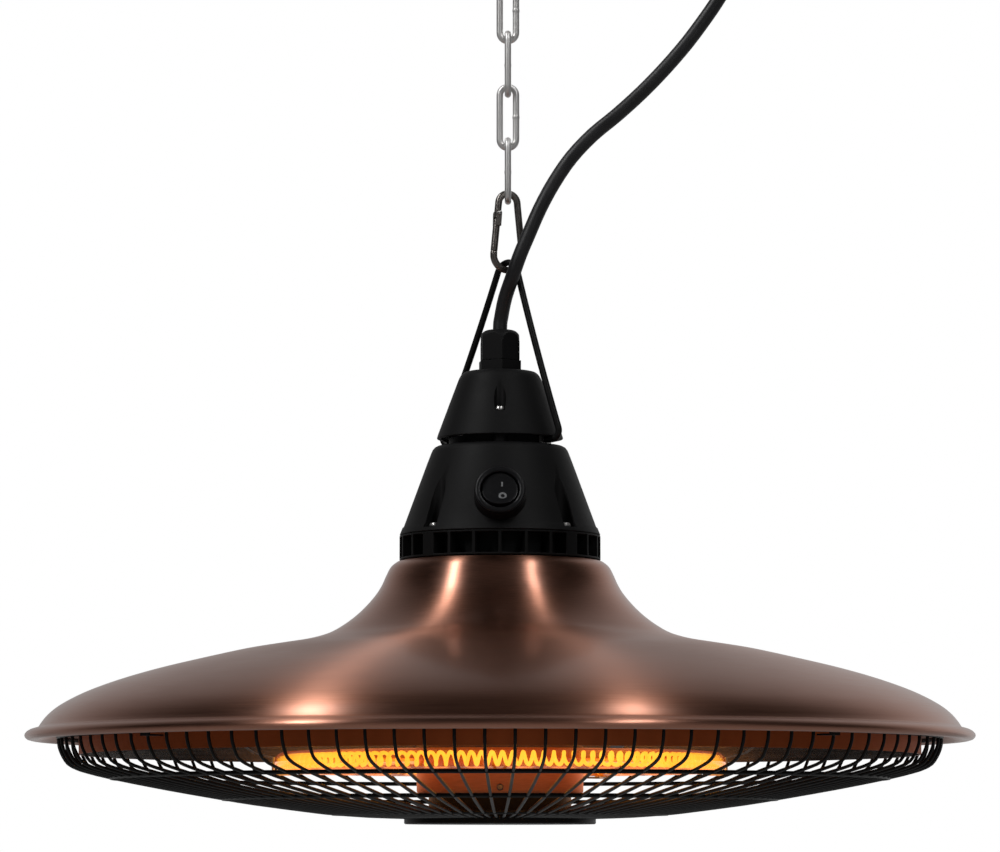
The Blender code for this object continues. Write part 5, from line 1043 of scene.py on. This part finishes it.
def dress_cad_nodes():
    looks = {
        "hanger_bracket": ("steel", 0.25), "gland_lock_nut": ("plastic", 0.3), "base_plate": ("steel", 0.2),
        "terminal_block": ("white_plastic", 0.5), "thermal_cutout": ("ceramic", 0.4), "supply_lead": ("rubber", 0),
        "heater_lead_1": ("braid", 0), "heater_lead_2": ("braid", 0), "tube_clip_1": ("steel", 0.15),
        "tube_clip_2": ("steel", 0.15), "tube_clip_3": ("steel", 0.15), "guard_clip_1": ("black_wire", 0.15),
        "guard_clip_2": ("black_wire", 0.15), "guard_clip_3": ("black_wire", 0.15), "guard_clip_4": ("black_wire", 0.15),
    }
    for node, (look, width) in looks.items():
        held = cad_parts[node]
        held.data.materials.clear()
        held.data.materials.append(MATERIALS[look])
        if width:
            bevel(held, width)


# ---------------------------------------------------------------- light and room


def area(name, at, aim, size, power, roll):
    data = bpy.data.lights.new(name, "AREA")
    data.shape = "RECTANGLE"
    data.size, data.size_y = size
    data.energy = power
    made = bpy.data.objects.new(name, data)
    bpy.context.collection.objects.link(made)
    made.location = Vector(at)
    facing = (Vector(aim) - Vector(at)).to_track_quat("-Z", "Y").to_matrix()
    made.rotation_euler = (facing @ Matrix.Rotation(math.radians(roll), 3, "Z")).to_euler()
    return made


def softbox(name, azimuth, elevation, distance, size, power, roll):
    """A soft box that stands at an azimuth from the front, positive to the right, and looks at the shade."""
    a, e = math.radians(azimuth), math.radians(elevation)
    aim = Vector((0, 0, -0.32))
    at = aim + distance * Vector((math.sin(a) * math.cos(e), -math.cos(a) * math.cos(e), math.sin(e)))
    return area(name, at, aim, size, power, roll)


def add_lights():
    softbox("soft_left", -58, 45, 2.2, (0.14, 1.9), 20, 28)
    softbox("soft_right", 39, 47, 2.2, (0.12, 2.1), 12, -24)
    bpy.context.view_layer.update()
    holder = bpy.data.objects["quartz_ring"]
    for k in range(28):
        place = around(TUBE_R, 112 + 11.7 * k, TUBE_Z)
        data = bpy.data.lights.new(f"glow_{k}", "POINT")
        data.energy = 0.0045
        data.color = (1.0, 0.36, 0.07)
        data.shadow_soft_size = 0.013
        data.use_shadow = True
        made = bpy.data.objects.new(f"glow_{k}", data)
        bpy.context.collection.objects.link(made)
        made.location = metres((place.x + HEATER_X, place.y, place.z - 7.0))
        made.parent = holder
        made.matrix_parent_inverse = holder.matrix_world.inverted()


def add_room():
    """A pale floor far below, and a world that is a white backdrop behind the object and a dim studio before it."""
    bm = bmesh.new()
    for x, y in ((-12, -12), (12, -12), (12, 12), (-12, 12)):
        bm.verts.new((x, y, -2.6))
    bm.faces.new(bm.verts)
    mesh = bpy.data.meshes.new("floor")
    bm.to_mesh(mesh)
    bm.free()
    floor = bpy.data.objects.new("floor", mesh)
    bpy.context.collection.objects.link(floor)
    g = Graph("floor_paint")
    seen = g.node("ShaderNodeLightPath", {}).outputs["Is Camera Ray"]
    g.set(
        Base_Color=g.blend(g.span(g.noise(g.place(), 3.0), 0.0, 1.0), (0.80, 0.80, 0.80), (0.84, 0.84, 0.84)),
        Roughness=0.9,
        Emission_Color=(1.0, 1.0, 1.0, 1.0),
        Emission_Strength=g.math("ADD", g.math("MULTIPLY", seen, 0.35), 0.12),
    )
    mesh.materials.append(g.made)

    world = bpy.data.worlds.new("studio")
    bpy.context.scene.world = world
    world.use_nodes = True
    tree = world.node_tree
    tree.nodes.clear()
    new, link = tree.nodes.new, tree.links.new

    def calc(operation, first, second):
        made = new("ShaderNodeMath")
        made.operation = operation
        for socket, value in zip(made.inputs, (first, second)):
            if isinstance(value, bpy.types.NodeSocket):
                link(value, socket)
            else:
                socket.default_value = value
        return made.outputs[0]

    out = new("ShaderNodeOutputWorld")
    back = new("ShaderNodeBackground")
    link(back.outputs[0], out.inputs[0])
    path = new("ShaderNodeLightPath")
    place = new("ShaderNodeTexCoord")
    parts = new("ShaderNodeSeparateXYZ")
    link(place.outputs["Generated"], parts.inputs[0])

    def shade(near, far, start, stop):
        made = new("ShaderNodeMapRange")
        made.interpolation_type = "SMOOTHSTEP"
        link(parts.outputs["Y"], made.inputs["Value"])
        for socket, value in zip(("From Min", "From Max", "To Min", "To Max"), (near, far, start, stop)):
            made.inputs[socket].default_value = value
        return made.outputs["Result"]

    around_it = calc("ADD", shade(0.15, 0.85, 0.0, 0.48), shade(-0.9, -0.1, 0.085, 0.015))
    side = calc("ADD", calc("MULTIPLY", parts.outputs["X"], 0.40), 1.0)
    seen = calc("MAXIMUM", path.outputs["Is Camera Ray"], path.outputs["Is Transmission Ray"])
    strength = calc("MAXIMUM", seen, calc("MULTIPLY", side, around_it))
    back.inputs["Color"].default_value = (1, 1, 1, 1)
    link(strength, back.inputs["Strength"])


add_camera()
MATERIALS = make_materials()
add_cord()
add_suspension()
add_cap_and_gland()
add_housing()
add_screws()
add_switch()
add_vent_ring()
add_shade()
add_reflector()
add_heater()
add_guard()
dress_cad_nodes()
add_lights()
add_room()
bpy.context.scene.view_settings.view_transform = "Standard"
